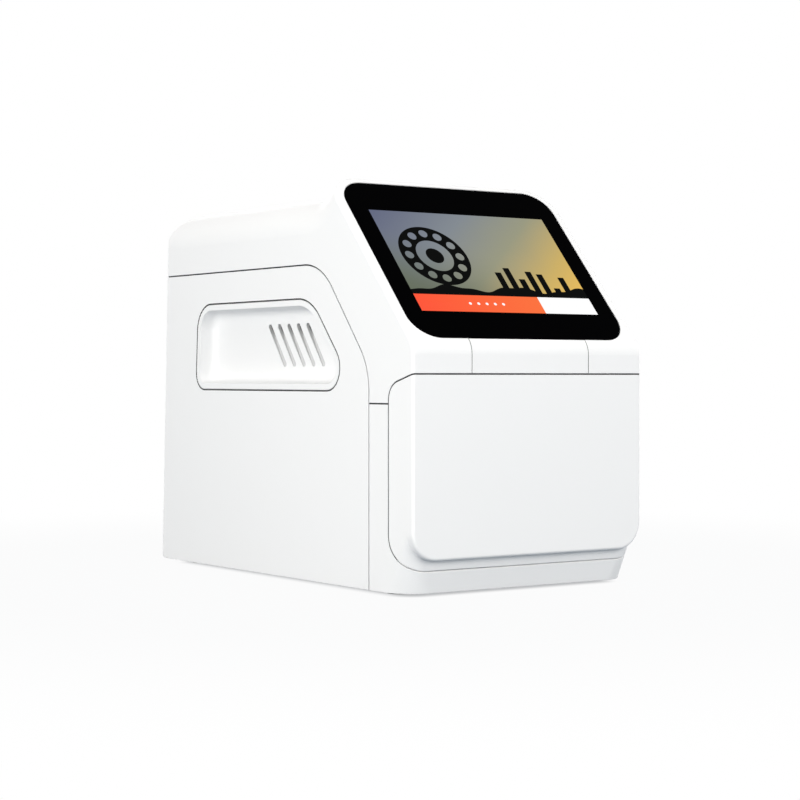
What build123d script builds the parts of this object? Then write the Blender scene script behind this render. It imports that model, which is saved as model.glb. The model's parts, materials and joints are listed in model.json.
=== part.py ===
from build123d import *
import os
from math import acos, ceil, cos, pi, radians, sin, sqrt, tan

os.makedirs("parts", exist_ok=True)

# Bench-top clinical chemistry analyzer, millimetres, +Z up, front face towards -Y.
# Every sketch below is drawn from three datum planes: the front face, the case bottom
# and the plane of symmetry. "depth" is measured back from the front face, "height" up
# from the case bottom, which stands on short rubber feet.

# Overall form
width = 194.0
depth = 341.0
roof_height = 265.0
crest_rise = 13.2
hood_height = 103.3
foot_stand = 2.5
screen_slope = 48.3
nose_curve = 15.0
hood_back_curve = 25.0
edge_round = 25.0
rear_round = 25.0
border_round = 2.0
rear_lean = 2.35
rear_bottom_round = 7.0
rear_edge_round = 3.0
wall = 3.0

# Seams between the mouldings
seam = 1.0
seam_drop = 46.5
side_seam_depth = 50.5
side_seam_slant = 50.5
side_seam_rise = 4.5
side_seam_curve = 45.0
wing_drop = 19.5
rear_return = 13.0

# Drawer front
door_strip = 18.8
drawer_top_fall = 0.27
drawer_wrap = 27.8
drawer_top_curve = 13.0
drawer_foot_height = 29.8
drawer_foot_curve = 17.0
drawer_lip_depth = 7.5
drawer_lip_height = 14.6
face_bottom = 21.8
face_corner = 19.0
chin_depth = 10.5
chin_corner = 22.0
chin_fade_height = 46.0
chin_fade_corner = 3.0
chin_set_back = 0.5

# Display
glass_side = 6.75
glass_corner = 20.0
glass_thick = 1.8
glass_chamfer = 0.4
glass_start = 6.4
glass_end = 4.73
glass_fit = 0.35
lcd_width = 150.7
lcd_length = 94.2
lcd_start = 23.95
lcd_border = 5.0
lcd_play = 0.5
pad_margin = 3.0
pad_depth = 6.0
bracket_thick = 1.5
bracket_side = 4.5
bracket_edge = 4.0
bracket_ear = 2.4
bracket_window = 33.0
bracket_window_pitch = 46.0

# Paper door and printer
door_width = 98.7
door_wall = 2.4
door_gap = 0.5
hinge_depth = 3.6
hinge_rise = 4.8
hinge_pin_radius = 1.25
hinge_play = 0.05
platen_depth = 10.2
platen_drop = 2.7
platen_radius = 4.0
platen_length = 58.0
platen_axle_radius = 1.5

# Grip recess in each side
grip_floor = 12.0
grip_lip = 4.5
grip_fit = 0.4
grip_flange = 4.0
grip_taper = 12.0
grip_floor_round = 6.0
slot_count = 5
slot_pitch = 12.8
slot_width = 4.2
slot_shallow = 0.5
slot_deep = 3.3
slot_length = 38.0
slot_slant = 53.3

# Drawer: travel, disc well, deck and chassis
travel = 128.0
disc_depth = 79.0
well_radius = 48.0
well_wall = 2.5
well_depth = 21.5
well_rim_round = 1.2
deck_drop = 16.9
deck_thick = 3.0
deck_overhang = 2.0
deck_start = 28.0
deck_end = 130.5
deck_skirt = 10.0
chassis_bottom = 40.0
flange_side = 18.0
sheet = 1.5
side_slot = (76.0, 20.0)
side_slot_inset = 50.0
side_slot_drop = 22.0

# Drawer slides
rail_start = 50.0
rail_behind = 103.0
rail_height = 62.0
rail_half_height = 10.0
rail_channel = 7.5
rail_lip = 1.2
slide_play = 0.35
slide_gap = 2.5
bar_start = 60.0
bar_short = 3.0
bar_chamfer = 1.5
bar_screw_inset = (15.0, 20.0)
bracket_gap = 4.0
bracket_start = 47.0
bracket_behind = 2.0
chassis_short = 2.0
bracket_rise = 38.0
bracket_window_size = (44.0, 16.0)
bracket_window_step = 58.0
bracket_windows_up = (-34.0, 23.0)
post_width = 11.0

# Rack and pinion
rack_module = 1.0
pinion_teeth = 20
rack_spare = 16.0
teeth_ahead = 2
backlash = 0.12
pressure_angle = 20.0
pinion_depth = 70.0
pinion_height = 23.0
gear_face = 8.0
gear_x = -8.0
shaft_radius = 2.0
shaft_play = 0.05

# Inside frame, optics and electronics
base_thick = 2.5
base_fit = 0.4
base_vent = (3.0, 34.0)
base_vent_pitch = (9.0, 60.0)
base_vent_counts = (9, 2)
shelf_rise = 7.1
shelf_start = 48.0
shelf_behind = 5.0
shelf_window = 33.0
shelf_window_pitch = 48.0
shelf_slot = (24.0, 18.0)
shelf_slot_pitch = 40.0
sheet_corner = 6.0
jaw_half_width = 14.0
board_thick = 1.6
fan_size = 60.0
fan_thick = 15.0
fan_inset = 54.0
fan_drop = 68.5
inlet_inset = 22.0
inlet_height = 30.0
switch_height = 68.0
ports_inset = 48.0
ports_height = 70.0

# Fasteners and seats
screw_radius = 1.5
screw_head = 2.8
head_thick = 1.4
tongue = 2.0
tongue_reach = 3.0
tongue_behind = 21.0

# Heights that hang from the roof
front_y = -depth / 2
half_width = width / 2
slope = radians(screen_slope)
lean = radians(rear_lean)
crest_height = roof_height + crest_rise
slope_start = roof_height - hood_height
crest_depth = (crest_height - slope_start) / tan(slope)
back_depth = crest_depth + crest_rise * tan(slope)
blend_end = back_depth + hood_back_curve * tan((pi / 2 - slope) / 2) + wall
slope_length = (crest_height - slope_start) / sin(slope)
glass_width = width - 2 * glass_side
glass_length = slope_length - glass_start - glass_end
seam_height = roof_height - seam_drop
drawer_top = slope_start - door_strip
side_seam_knee = drawer_top + side_seam_rise
wing_height = drawer_top - wing_drop
hinge_height = drawer_top + hinge_rise
platen_height = slope_start - platen_drop
shelf_height = drawer_top + shelf_rise
deck_top = drawer_top - deck_drop
well_floor = deck_top - well_depth
chassis_top = deck_top - deck_skirt
bracket_top = rail_height + bracket_rise
fan_height = seam_height - fan_drop

# Widths, each held by the one outside it
inner_face = half_width - wall
bracket_inner = inner_face - bracket_gap
rail_inner = bracket_inner - rail_channel
chassis_half_width = rail_inner - slide_gap
deck_half_width = chassis_half_width + deck_overhang
shelf_half_width = chassis_half_width
flange_window = chassis_half_width - flange_side
rear_split = half_width - rear_return
fan_x = rear_split - fan_inset
inlet_x = inlet_inset - rear_split
ports_x = rear_split - ports_inset

# Depths that end a fixed way short of the rear wall
rail_end = depth - rail_behind
bar_end = rail_end - bar_short
bracket_end = rail_end + bracket_behind
chassis_end = rail_end - chassis_short
shelf_end = bracket_end + shelf_behind
tongue_end = depth - tongue_behind
beyond = 60.0


def at_side(x):
    """Side view: local x is depth, local y is height, normal +X."""
    return Plane((x, front_y, foot_stand), x_dir=(0, 1, 0), z_dir=(1, 0, 0))


def at_height(height):
    """Plan view: local x is x, local y is depth, normal up."""
    return Plane((0, front_y, foot_stand + height))


def at_depth(back):
    """Front view: local x is x, local y is height, normal towards the viewer."""
    return Plane((0, front_y + back, foot_stand), x_dir=(1, 0, 0), z_dir=(0, -1, 0))


def at_screen(below):
    """On the screen slope: local x is x, local y runs up the slope from its foot."""
    start = (0, front_y + below * sin(slope), foot_stand + slope_start - below * cos(slope))
    return Plane(start, x_dir=(1, 0, 0), z_dir=(0, -sin(slope), cos(slope)))


def at_rear(inside):
    """On the leaning rear wall, seen from behind: local x is -x, local y runs up it."""
    foot = (0, front_y + depth - inside * cos(lean), foot_stand - inside * sin(lean))
    return Plane(foot, x_dir=(-1, 0, 0), z_dir=(0, cos(lean), sin(lean)))


def outline(plane, corners, grow=0.0):
    """Closed outline through (x, y, corner radius) points, grown or shrunk evenly."""
    with BuildSketch(plane) as shape:
        with BuildLine():
            FilletPolyline([c[:2] for c in corners], radius=[c[2] for c in corners], close=True)
        make_face()
        if grow:
            offset(amount=grow, kind=Kind.INTERSECTION)
    return shape.sketch


def block(across, back, up, mode=Mode.ADD):
    """Rectangular block between two x, two depth and two height values."""
    with BuildSketch(at_height(up[0])) as foot:
        with Locations(((across[0] + across[1]) / 2, (back[0] + back[1]) / 2)):
            Rectangle(across[1] - across[0], back[1] - back[0])
    extrude(foot.sketch, amount=up[1] - up[0], mode=mode)


def disc(plane, centre, radius, height, mode=Mode.ADD):
    """Round boss or hole standing on a plane."""
    with BuildSketch(plane) as foot:
        with Locations(centre):
            Circle(radius)
    extrude(foot.sketch, amount=height, mode=mode)


def keep(piece, name):
    """Label a finished piece and write it under its own name."""
    piece.label = name
    export_step(piece, "parts/" + name + ".step")


def case_form(inset, foot):
    """Whole body of the case, every wall drawn in by inset, cut off flat at foot."""
    far = depth + beyond
    with BuildPart() as form:
        silhouette = outline(
            at_side(0),
            [
                (0, foot, 0),
                (0, slope_start, nose_curve),
                (crest_depth, crest_height, 0),
                (back_depth, roof_height, hood_back_curve),
                (far, roof_height, 0),
                (far, foot, 0),
            ],
            -inset,
        )
        extrude(silhouette, amount=half_width - inset, both=True)
        # The long upper edges run from the hood's crest to beyond the rear wall
        upper = form.edges().filter_by(
            lambda e: e.bounding_box().size.X < 0.01
            and e.center().Z > foot_stand + roof_height - inset - 0.1
            and e.center().Y > front_y + crest_depth
        )
        fillet(upper, edge_round - inset)
        if inset == 0:
            facing = Vector(0, -sin(slope), cos(slope))
            screen_face = form.faces().filter_by(
                lambda f: f.is_planar and f.normal_at().dot(facing) > 0.999
            )
            border = screen_face.edges().sort_by(Axis.Z)[1:]
            fillet(border, border_round)
        # The rear wall leans forward and rolls over into the roof
        rear_line = outline(
            at_side(0),
            [
                (-beyond, foot, 0),
                (depth - foot * tan(lean), foot, rear_bottom_round if inset == 0 else 0),
                (depth - roof_height * tan(lean), roof_height, rear_round),
                (blend_end, roof_height, 0),
                (blend_end, crest_height + beyond, 0),
                (-beyond, crest_height + beyond, 0),
            ],
            -inset,
        )
        extrude(rear_line, amount=width, both=True, mode=Mode.INTERSECT)
    return form.part


def nose_form(inset, foot):
    """Front body: a slab with a rounded face over a chin whose corners fade upwards."""
    with BuildPart() as form:
        face = outline(
            at_depth(inset),
            [
                (-half_width, face_bottom, face_corner),
                (half_width, face_bottom, face_corner),
                (half_width, crest_height, 0),
                (-half_width, crest_height, 0),
            ],
            -inset,
        )
        extrude(face, amount=-beyond)
        if inset == 0:
            front_edges = form.faces().sort_by(Axis.Y)[0].edges()
            fillet(front_edges, border_round)
        # The chin: a plan outline with round corners that shrink with height
        side = half_width - inset
        sections = [
            outline(
                at_height(height),
                [
                    (-side, beyond, 0),
                    (-side, front + inset, max(corner - inset, border_round / 4)),
                    (side, front + inset, max(corner - inset, border_round / 4)),
                    (side, beyond, 0),
                ],
            )
            for height, front, corner in (
                (0, chin_depth, chin_corner),
                (chin_fade_height, chin_set_back, chin_fade_corner),
            )
        ]
        loft(sections, ruled=True)
        if foot < 0:
            extrude(form.faces().sort_by(Axis.Z)[0], amount=-foot)
    return form.part


def top_line(back):
    """Height of the drawer front's upper parting line at a depth."""
    return drawer_top - drawer_top_fall * back


def foot_line(back):
    """Height of the drawer front's lower parting line at a depth."""
    rise = (drawer_foot_height - drawer_lip_height) / (drawer_wrap - drawer_lip_depth)
    return drawer_lip_height + rise * (back - drawer_lip_depth)


# Parting lines between the mouldings, in side view
far = depth + beyond
high = crest_height + beyond
low = -2 * beyond
seam_knee_depth = side_seam_depth + (seam_height - side_seam_knee) / tan(radians(side_seam_slant))
side_corner_top = (seam_knee_depth, seam_height, side_seam_curve)
side_corner_low = (side_seam_depth, side_seam_knee, side_seam_curve)
cap_corner_top = (drawer_wrap, top_line(drawer_wrap), drawer_top_curve)
cap_corner_low = (drawer_wrap, drawer_foot_height, drawer_foot_curve)
cover_area = [
    (far, seam_height, 0),
    side_corner_top,
    side_corner_low,
    (side_seam_depth, wing_height, 0),
    (drawer_wrap, wing_height, 0),
    cap_corner_top,
    (-beyond, top_line(-beyond), 0),
    (-beyond, high, 0),
    (far, high, 0),
]
side_area = [
    (far, low, 0),
    (far, seam_height, 0),
    side_corner_top,
    side_corner_low,
    (side_seam_depth, low, 0),
]
frame_area = [
    (side_seam_depth, low, 0),
    (side_seam_depth, wing_height, 0),
    (drawer_wrap, wing_height, 0),
    cap_corner_low,
    (-beyond, foot_line(-beyond), 0),
    (-beyond, low, 0),
]
cap_area = [
    cap_corner_low,
    cap_corner_top,
    (-beyond, top_line(-beyond), 0),
    (-beyond, foot_line(-beyond), 0),
]


def trim(area, shrink=seam / 2, mode=Mode.INTERSECT):
    """Keep (or cut) what lies inside a side view area, held back from its seams."""
    extrude(outline(at_side(0), area, -shrink), amount=width, both=True, mode=mode)


# Outer shell, from which the mouldings are cut apart
with BuildPart() as shell:
    add(case_form(0, 0))
    add(case_form(wall, -beyond), mode=Mode.SUBTRACT)
    # The upright rear edges are rounded along the lean of the rear wall
    start = -beyond
    rear_line = depth - start * tan(lean)
    with BuildSketch(at_height(start)) as bead:
        for side in (-1, 1):
            corner = (side * (half_width - rear_edge_round / 2), rear_line - rear_edge_round / 2)
            with Locations(corner):
                Rectangle(rear_edge_round, rear_edge_round)
        for side in (-1, 1):
            with Locations((side * (half_width - rear_edge_round), rear_line - rear_edge_round)):
                Circle(rear_edge_round, mode=Mode.SUBTRACT)
    run = (roof_height - start) / cos(lean)
    extrude(bead.sketch, amount=run, dir=(0, -sin(lean), cos(lean)), mode=Mode.SUBTRACT)

# Side panels, with a hole for the grip insert
recess_drop = 23.5
recess_high = 63.3
recess_front = 67.2
recess_behind = 56.2
recess_slant = 49.0
recess_top = seam_height - recess_drop
recess_bottom = recess_top - recess_high
recess_rear = depth - recess_behind
recess_knee = recess_front + (recess_top - recess_bottom) / tan(radians(recess_slant))
recess_rear_lean = 3.5
recess = [
    (recess_rear, recess_bottom, 12.0),
    (recess_rear - recess_rear_lean, recess_top, 20.0),
    (recess_knee, recess_top, 36.0),
    (recess_front, recess_bottom, 15.6),
]

# A tongue behind the seam lines up the side panel with the cover and the front frame
with BuildPart() as left_tongue:
    extrude(outline(at_side(-inner_face), side_area, tongue_reach), amount=tongue)
    core = outline(at_side(-inner_face), side_area, -tongue_reach)
    extrude(core, amount=tongue, mode=Mode.SUBTRACT)
    block((-width, 0), (-beyond, tongue_end), (base_thick, high), mode=Mode.INTERSECT)

return_screw_inset = 8.5
return_screw_start = 20.0
return_screw_drop = 18.5
return_screw_ends = (return_screw_start, seam_height - return_screw_drop)
return_screws = [
    (half_width - return_screw_inset, height)
    for height in (return_screw_ends[0], sum(return_screw_ends) / 2, return_screw_ends[1])
]
with BuildPart() as left_side_panel:
    add(shell.part)
    trim(side_area)
    block((-width, -rear_split - seam / 2), (-beyond, far), (low, high), mode=Mode.INTERSECT)
    add(left_tongue.part)
    ledge = (base_thick, 2 * base_thick)
    block((-inner_face, -inner_face + tongue), (side_seam_depth, tongue_end), ledge)
    for place in return_screws:
        disc(at_rear(0), place, screw_radius, -2 * wall, Mode.SUBTRACT)
    hole = outline(at_side(-half_width - 1), recess)
    extrude(hole, amount=wall + 2, mode=Mode.SUBTRACT)
keep(left_side_panel.part, "left_side_panel")

with BuildPart() as right_side_panel:
    mirror(left_side_panel.part, about=Plane.YZ)
keep(right_side_panel.part, "right_side_panel")

# Grip inserts: a flat lip round a dished floor with five slanted vent slots
slot_centre_depth = 160.3
slot_rise = 31.9
slot_centre_height = recess_bottom + slot_rise
insert_flange = 2.0
dish_x = grip_floor - half_width
with BuildPart() as slot_cut:
    with BuildSketch(at_side(dish_x - 1)) as slots:
        with Locations((slot_centre_depth, slot_centre_height)):
            with GridLocations(slot_pitch, 1, slot_count, 1):
                SlotOverall(slot_length, slot_width, rotation=slot_slant)
    extrude(slots.sketch, amount=wall + 2)
    # The floor of every slot slopes inwards, until its upper end opens into the case
    half_rise = slot_length / 2 * sin(radians(slot_slant))
    slot_slope = [
        (dish_x - 1, slot_centre_height - half_rise, 0),
        (dish_x + slot_shallow, slot_centre_height - half_rise, 0),
        (dish_x + slot_deep, slot_centre_height + half_rise, 0),
        (dish_x - 1, slot_centre_height + half_rise, 0),
    ]
    past_slots = at_depth(slot_centre_depth + beyond)
    extrude(outline(past_slots, slot_slope), amount=2 * beyond, mode=Mode.INTERSECT)

with BuildPart() as left_grip_insert:
    extrude(outline(at_side(-half_width), recess, -grip_fit), amount=grip_floor + wall)
    extrude(outline(at_side(-inner_face), recess, grip_flange), amount=insert_flange)
    dish = outline(at_side(-half_width), recess, -grip_lip)
    extrude(dish, amount=grip_floor, taper=grip_taper, mode=Mode.SUBTRACT)
    dish_floor = left_grip_insert.faces().filter_by(
        lambda f: f.is_planar and abs(f.center().X - dish_x) < 0.01
    )
    fillet(dish_floor.edges(), grip_floor_round)
    add(slot_cut.part, mode=Mode.SUBTRACT)
keep(left_grip_insert.part, "left_grip_insert")

with BuildPart() as right_grip_insert:
    mirror(left_grip_insert.part, about=Plane.YZ)
keep(right_grip_insert.part, "right_grip_insert")

# Top cover: roof, hood with the screen pocket, and a wing down each side
cover_screw_inset = 29.0
cover_screw_drop = 3.2
cover_screw_span = rear_split - cover_screw_inset
cover_screws = [(x, seam_height - cover_screw_drop) for x in (-cover_screw_span, 0, cover_screw_span)]
glass_centre = glass_start + glass_length / 2
lcd_centre = glass_start + lcd_start + lcd_length / 2
door_half = door_width / 2
cheek_thick = 2.5
cheek_inner = door_half + door_gap
cheek_rise = 1.6
cheek_back = 40.0
cheek_back_rise = 29.3
cheek_notch = (14.0, 1.8)
cheek_peak = (10.0, 7.1)
cheek_brow = (1.87, -1.7)
cheek_floor = drawer_top + cheek_rise
cheek = [
    (wall / 2, cheek_floor, 0),
    (cheek_back, cheek_floor, 0),
    (cheek_back, slope_start + cheek_back_rise, 0),
    (cheek_notch[0], slope_start + cheek_notch[1], 0),
    (cheek_peak[0], slope_start + cheek_peak[1], 0),
    (cheek_brow[0], slope_start + cheek_brow[1], 0),
]
# The door opening ends square to the slope at the glass's lower edge
glass_foot = (glass_start * cos(slope), slope_start + glass_start * sin(slope))
door_reach = 6.3


def door_area(clear):
    """Side view of the skin that the paper door replaces, grown by a clearance."""
    inner = (glass_foot[0] + door_reach * sin(slope), glass_foot[1] - door_reach * cos(slope))
    outer = (glass_foot[0] - beyond * sin(slope), glass_foot[1] + beyond * cos(slope))
    shape = [
        (-beyond, top_line(-beyond) - beyond, 0),
        (inner[0], top_line(0) - beyond, 0),
        (inner[0], inner[1], 0),
        (outer[0], outer[1], 0),
    ]
    return outline(at_side(0), shape, -clear)


with BuildPart() as top_cover:
    add(shell.part)
    trim(cover_area)
    with BuildSketch(at_screen(pad_depth)) as pad:
        with Locations((0, glass_centre)):
            Rectangle(glass_width - pad_margin, glass_length - 2 * pad_margin)
    extrude(pad.sketch, amount=pad_depth - wall / 2)
    with BuildSketch(at_screen(glass_thick)) as pocket:
        with Locations((0, glass_centre)):
            RectangleRounded(
                glass_width + 2 * glass_fit, glass_length + 2 * glass_fit, glass_corner + glass_fit
            )
    extrude(pocket.sketch, amount=beyond, mode=Mode.SUBTRACT)
    with BuildSketch(at_screen(pad_depth + 1)) as window:
        with Locations((0, lcd_centre)):
            Rectangle(
                lcd_width + 2 * (lcd_border + lcd_play), lcd_length + 2 * (lcd_border + lcd_play)
            )
    extrude(window.sketch, amount=beyond, mode=Mode.SUBTRACT)
    extrude(door_area(0), amount=cheek_inner, both=True, mode=Mode.SUBTRACT)
    for side in (-1, 1):
        extrude(outline(at_side(side * cheek_inner), cheek), amount=side * cheek_thick)
        pin_hole = at_side(side * cheek_inner)
        disc(pin_hole, (hinge_depth, hinge_height), hinge_pin_radius, side * cheek_thick, Mode.SUBTRACT)
    # Tongue inside the rear wall, reaching down behind the rear panel
    with BuildSketch(at_rear(wall)) as rear_tongue:
        with Locations((0, seam_height)):
            Rectangle(2 * rear_split, 4 * tongue_reach)
    extrude(rear_tongue.sketch, amount=-tongue)
    for place in cover_screws:
        disc(at_rear(0), place, screw_radius, -2 * wall, Mode.SUBTRACT)
keep(top_cover.part, "top_cover")

with BuildPart() as touch_glass:
    with BuildSketch(at_screen(glass_thick)) as pane:
        with Locations((0, glass_centre)):
            RectangleRounded(glass_width, glass_length, glass_corner)
    extrude(pane.sketch, amount=glass_thick)
    rim = touch_glass.faces().filter_by(lambda f: f.normal_at().Z > 0.5).sort_by(Axis.Z)[-1]
    chamfer(rim.edges(), glass_chamfer)
keep(touch_glass.part, "touch_glass")

with BuildPart() as lcd_panel:
    with BuildSketch(at_screen(pad_depth)) as module:
        with Locations((0, lcd_centre)):
            Rectangle(lcd_width + 2 * lcd_border, lcd_length + 2 * lcd_border)
    extrude(module.sketch, amount=pad_depth - glass_thick)
keep(lcd_panel.part, "lcd_panel")

with BuildPart() as display_bracket:
    with BuildSketch(at_screen(pad_depth + bracket_thick)) as plate:
        with Locations((0, lcd_centre)):
            bracket_width = glass_width - 2 * bracket_side
            Rectangle(bracket_width, lcd_length + 2 * (lcd_border + bracket_edge))
            with GridLocations(bracket_window_pitch, bracket_window_pitch, 3, 2):
                Rectangle(bracket_window, bracket_window, mode=Mode.SUBTRACT)
            ears = (bracket_width - 2 * bracket_ear, lcd_length - 2 * lcd_border)
            with GridLocations(*ears, 2, 2):
                Circle(screw_radius, mode=Mode.SUBTRACT)
    extrude(plate.sketch, amount=bracket_thick)
keep(display_bracket.part, "display_bracket")

# Paper door: the curved skin below the glass, with ears that turn on two pins
rib_gap = 1.0
rib_half = 1.5
ear_inset = 4.35
arm_start = 1.0
arm_behind_hinge = 2.0
arm_nose = (2.6, 1.5)
arm_back = (1.4, 2.4)
arm_over = 3.0
rib_x = platen_length / 2 + rib_gap + rib_half
ear_x = door_half - ear_inset
with BuildPart() as door_ribs:
    for centre, reach, up in (
        (ear_x, hinge_depth, hinge_height),
        (rib_x, platen_depth, platen_height),
    ):
        arm = [
            (arm_start, hinge_height - 2 * hinge_pin_radius, 0),
            (hinge_depth + arm_behind_hinge, hinge_height - 2 * hinge_pin_radius, 0),
            (reach + arm_nose[0], up - arm_nose[1], 0),
            (reach + arm_back[0], up + arm_back[1], 0),
            (arm_start, up + arm_over, 0),
        ]
        for side in (-1, 1):
            inner = at_side(side * (centre - rib_half))
            extrude(outline(inner, arm), amount=side * 2 * rib_half)
    add(case_form(door_wall / 2, -beyond), mode=Mode.INTERSECT)

with BuildPart() as printer_door:
    add(case_form(0, 0))
    add(case_form(door_wall, -beyond), mode=Mode.SUBTRACT)
    trim(cover_area)
    extrude(door_area(door_gap), amount=door_half, both=True, mode=Mode.INTERSECT)
    block((-door_half, door_half), (-beyond, beyond), (0, high), mode=Mode.INTERSECT)
    add(door_ribs.part)
    for side in (-1, 1):
        ear = at_side(side * (ear_x - 2 * rib_half))
        hinge = (hinge_depth, hinge_height)
        disc(ear, hinge, hinge_pin_radius + hinge_play, side * 6 * rib_half, Mode.SUBTRACT)
        rib = at_side(side * (rib_x - 2 * rib_half))
        axle = (platen_depth, platen_height)
        disc(rib, axle, platen_axle_radius + hinge_play, side * 4 * rib_half, Mode.SUBTRACT)
keep(printer_door.part, "printer_door")

pin_tip = ear_x - 2 * rib_half
pin_head = cheek_inner + cheek_thick
with BuildPart() as hinge_pins:
    for side in (-1, 1):
        hinge = (hinge_depth, hinge_height)
        disc(at_side(side * pin_tip), hinge, hinge_pin_radius, side * (pin_head - pin_tip))
keep(hinge_pins.part, "hinge_pins")

# Printer: platen carried by the door, print head and paper cradle in the hood
axle_past = 0.5
with BuildPart() as platen_roller:
    axle = (platen_depth, platen_height)
    disc(at_side(-platen_length / 2), axle, platen_radius, platen_length)
    axle_half = rib_x + rib_half + axle_past
    disc(at_side(-axle_half), axle, platen_axle_radius, 2 * axle_half)
keep(platen_roller.part, "platen_roller")

head_half_width = 27.0
head_gap = 0.4
head_round = 0.8
head_depth = 3.4
head_drop = 5.7
head_bottom = slope_start - head_drop
head_front = platen_depth + platen_radius + head_gap
pad_foot = (
    (glass_start + pad_margin) * cos(slope) + pad_depth * sin(slope),
    slope_start + (glass_start + pad_margin) * sin(slope) - pad_depth * cos(slope),
)


def under_pad(back):
    """Height of the underside of the screen pad at a depth."""
    return pad_foot[1] + (back - pad_foot[0]) * tan(slope)


with BuildPart() as print_head:
    head = [
        (head_front, head_bottom, head_round),
        (head_front + head_depth, head_bottom, 0),
        (head_front + head_depth, under_pad(head_front + head_depth), 0),
        (head_front, under_pad(head_front), 0),
    ]
    extrude(outline(at_side(-head_half_width), head), amount=2 * head_half_width)
keep(print_head.part, "print_head")

cradle_wall = 1.8
cradle_start = 9.5
cradle_round = 13.0
cradle_rise = 20.3
cradle_top = slope_start + cradle_rise
with BuildPart() as printer_cradle:
    bowl = [
        (cradle_start, cheek_floor, 0),
        (cheek_back, cheek_floor, 0),
        (cheek_back, cradle_top, 0),
        (cheek_back - cradle_wall, cradle_top, 0),
        (cheek_back - cradle_wall, cheek_floor + cradle_wall, cradle_round),
        (cradle_start, cheek_floor + cradle_wall, 0),
    ]
    extrude(outline(at_side(-cheek_inner), bowl), amount=2 * cheek_inner)
keep(printer_cradle.part, "printer_cradle")

# Front frame: the strips beside the drawer front, the chin, and the drawer's doorway
doorway_depth = 44.0
doorway_side = 5.5
doorway_half = inner_face - doorway_side
doorway_sill = 29.5
with BuildPart() as front_frame:
    add(nose_form(0, 0))
    add(nose_form(wall, -beyond), mode=Mode.SUBTRACT)
    inner = half_width - wall / 2
    jamb = (doorway_depth, doorway_depth + wall)
    block((-inner, inner), jamb, (base_thick, wing_height))
    opening = (doorway_sill, high)
    block((-doorway_half, doorway_half), (doorway_depth - 1, beyond), opening, Mode.SUBTRACT)
    trim(frame_area)
    # Tabs that line up the cover's wings
    for side in (-1, 1):
        tab = sorted((side * (inner_face - wall), side * inner_face))
        block(tab, jamb, (wing_height - 2 * wall, wing_height + 2 * wall))
keep(front_frame.part, "front_frame")

# Drawer front: a deep hollow cap, closed all round except for a mouth at its back
mouth_side = 8.0
mouth_edge = 4.0
mouth_half = chassis_half_width - mouth_side
mouth_up = (chassis_bottom + mouth_edge, chassis_top - mouth_edge)
cap_back = drawer_wrap - seam / 2
front_screw_inset = 4.5
front_screw_end = 12.0
front_screw_x = chassis_half_width - front_screw_inset
front_screw_up = (chassis_bottom + front_screw_end, chassis_top - front_screw_end)
front_screw_places = [
    (x, height)
    for x in (-front_screw_x, front_screw_x)
    for height in (front_screw_up[0], sum(front_screw_up) / 2, front_screw_up[1])
]
with BuildPart() as cap_hollow:
    add(nose_form(wall, 0))
    trim(cap_area, seam / 2 + wall)
with BuildPart() as drawer_front:
    add(nose_form(0, 0))
    trim(cap_area)
    add(cap_hollow.part, mode=Mode.SUBTRACT)
    mouth_back = (drawer_wrap - wall - 2 * seam, drawer_wrap + 1)
    block((-mouth_half, mouth_half), mouth_back, mouth_up, Mode.SUBTRACT)
    for place in front_screw_places:
        disc(at_depth(cap_back), place, screw_radius, wall, Mode.SUBTRACT)
keep(drawer_front.part, "drawer_front")

# Rear panel: the leaning wall between the side panels' returns
fan_rim = 2.5
fan_bore = fan_size / 2 - fan_rim
fan_screws = 50.0
inlet_size = (27.6, 20.4)
switch_size = (14.0, 21.0)
jack_sizes = ((-18.0, 16.2, 13.6), (0.0, 13.4, 7.2), (18.0, 13.4, 7.2))
jack_play = 0.4
vent_length = 26.0
vent_width = 3.0
vent_count = 9
vent_pitch = 6.5
jack_depth = 16.0
board_posts = (60.0, 20.0)
strip_shift = 2.5
strip_width = 10.0
strip_start = 7.0
strip_drop = 9.5
strip_end = seam_height - strip_drop
strip_x = rear_split + strip_shift
with BuildPart() as rear_panel:
    add(shell.part)
    trim(side_area)
    edge = rear_split - seam / 2
    block((-edge, edge), (depth - beyond, far), (low, high), mode=Mode.INTERSECT)
    with BuildSketch(at_rear(0)) as cutouts:
        with Locations((fan_x, fan_height)):
            Circle(fan_bore)
            with GridLocations(fan_screws, fan_screws, 2, 2):
                Circle(screw_radius)
        with Locations((inlet_x, inlet_height)):
            Rectangle(*inlet_size)
        with Locations((inlet_x, switch_height)):
            Rectangle(*switch_size)
        for across, jack_width, jack_height in jack_sizes:
            with Locations((ports_x + across, ports_height)):
                Rectangle(jack_width + 2 * jack_play, jack_height + 2 * jack_play)
        with Locations((ports_x, inlet_height)):
            with GridLocations(vent_pitch, 1, vent_count, 1):
                SlotOverall(vent_length, vent_width, rotation=90)
    extrude(cutouts.sketch, amount=-2 * wall, mode=Mode.SUBTRACT)
    # Strips that lie behind the side panels' returns, and a ledge on the base plate
    with BuildSketch(at_rear(wall)) as strips:
        for side in (-1, 1):
            with Locations((side * strip_x, (strip_start + strip_end) / 2)):
                Rectangle(strip_width, strip_end - strip_start)
    extrude(strips.sketch, amount=-tongue)
    ledge_back = depth - wall - tan(lean)
    block((-edge, edge), (ledge_back - 2 * tongue, ledge_back + 1), ledge)
    with BuildSketch(at_rear(wall)) as posts:
        with Locations((ports_x, ports_height)):
            with GridLocations(*board_posts, 2, 2):
                Circle(2 * screw_radius)
    extrude(posts.sketch, amount=wall - jack_depth)
    for place in return_screws:
        for mirrored in (place, (-place[0], place[1])):
            disc(at_rear(0), mirrored, screw_radius, -2 * wall, Mode.SUBTRACT)
    for place in cover_screws:
        disc(at_rear(0), place, screw_radius, -2 * wall, Mode.SUBTRACT)
keep(rear_panel.part, "rear_panel")

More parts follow.
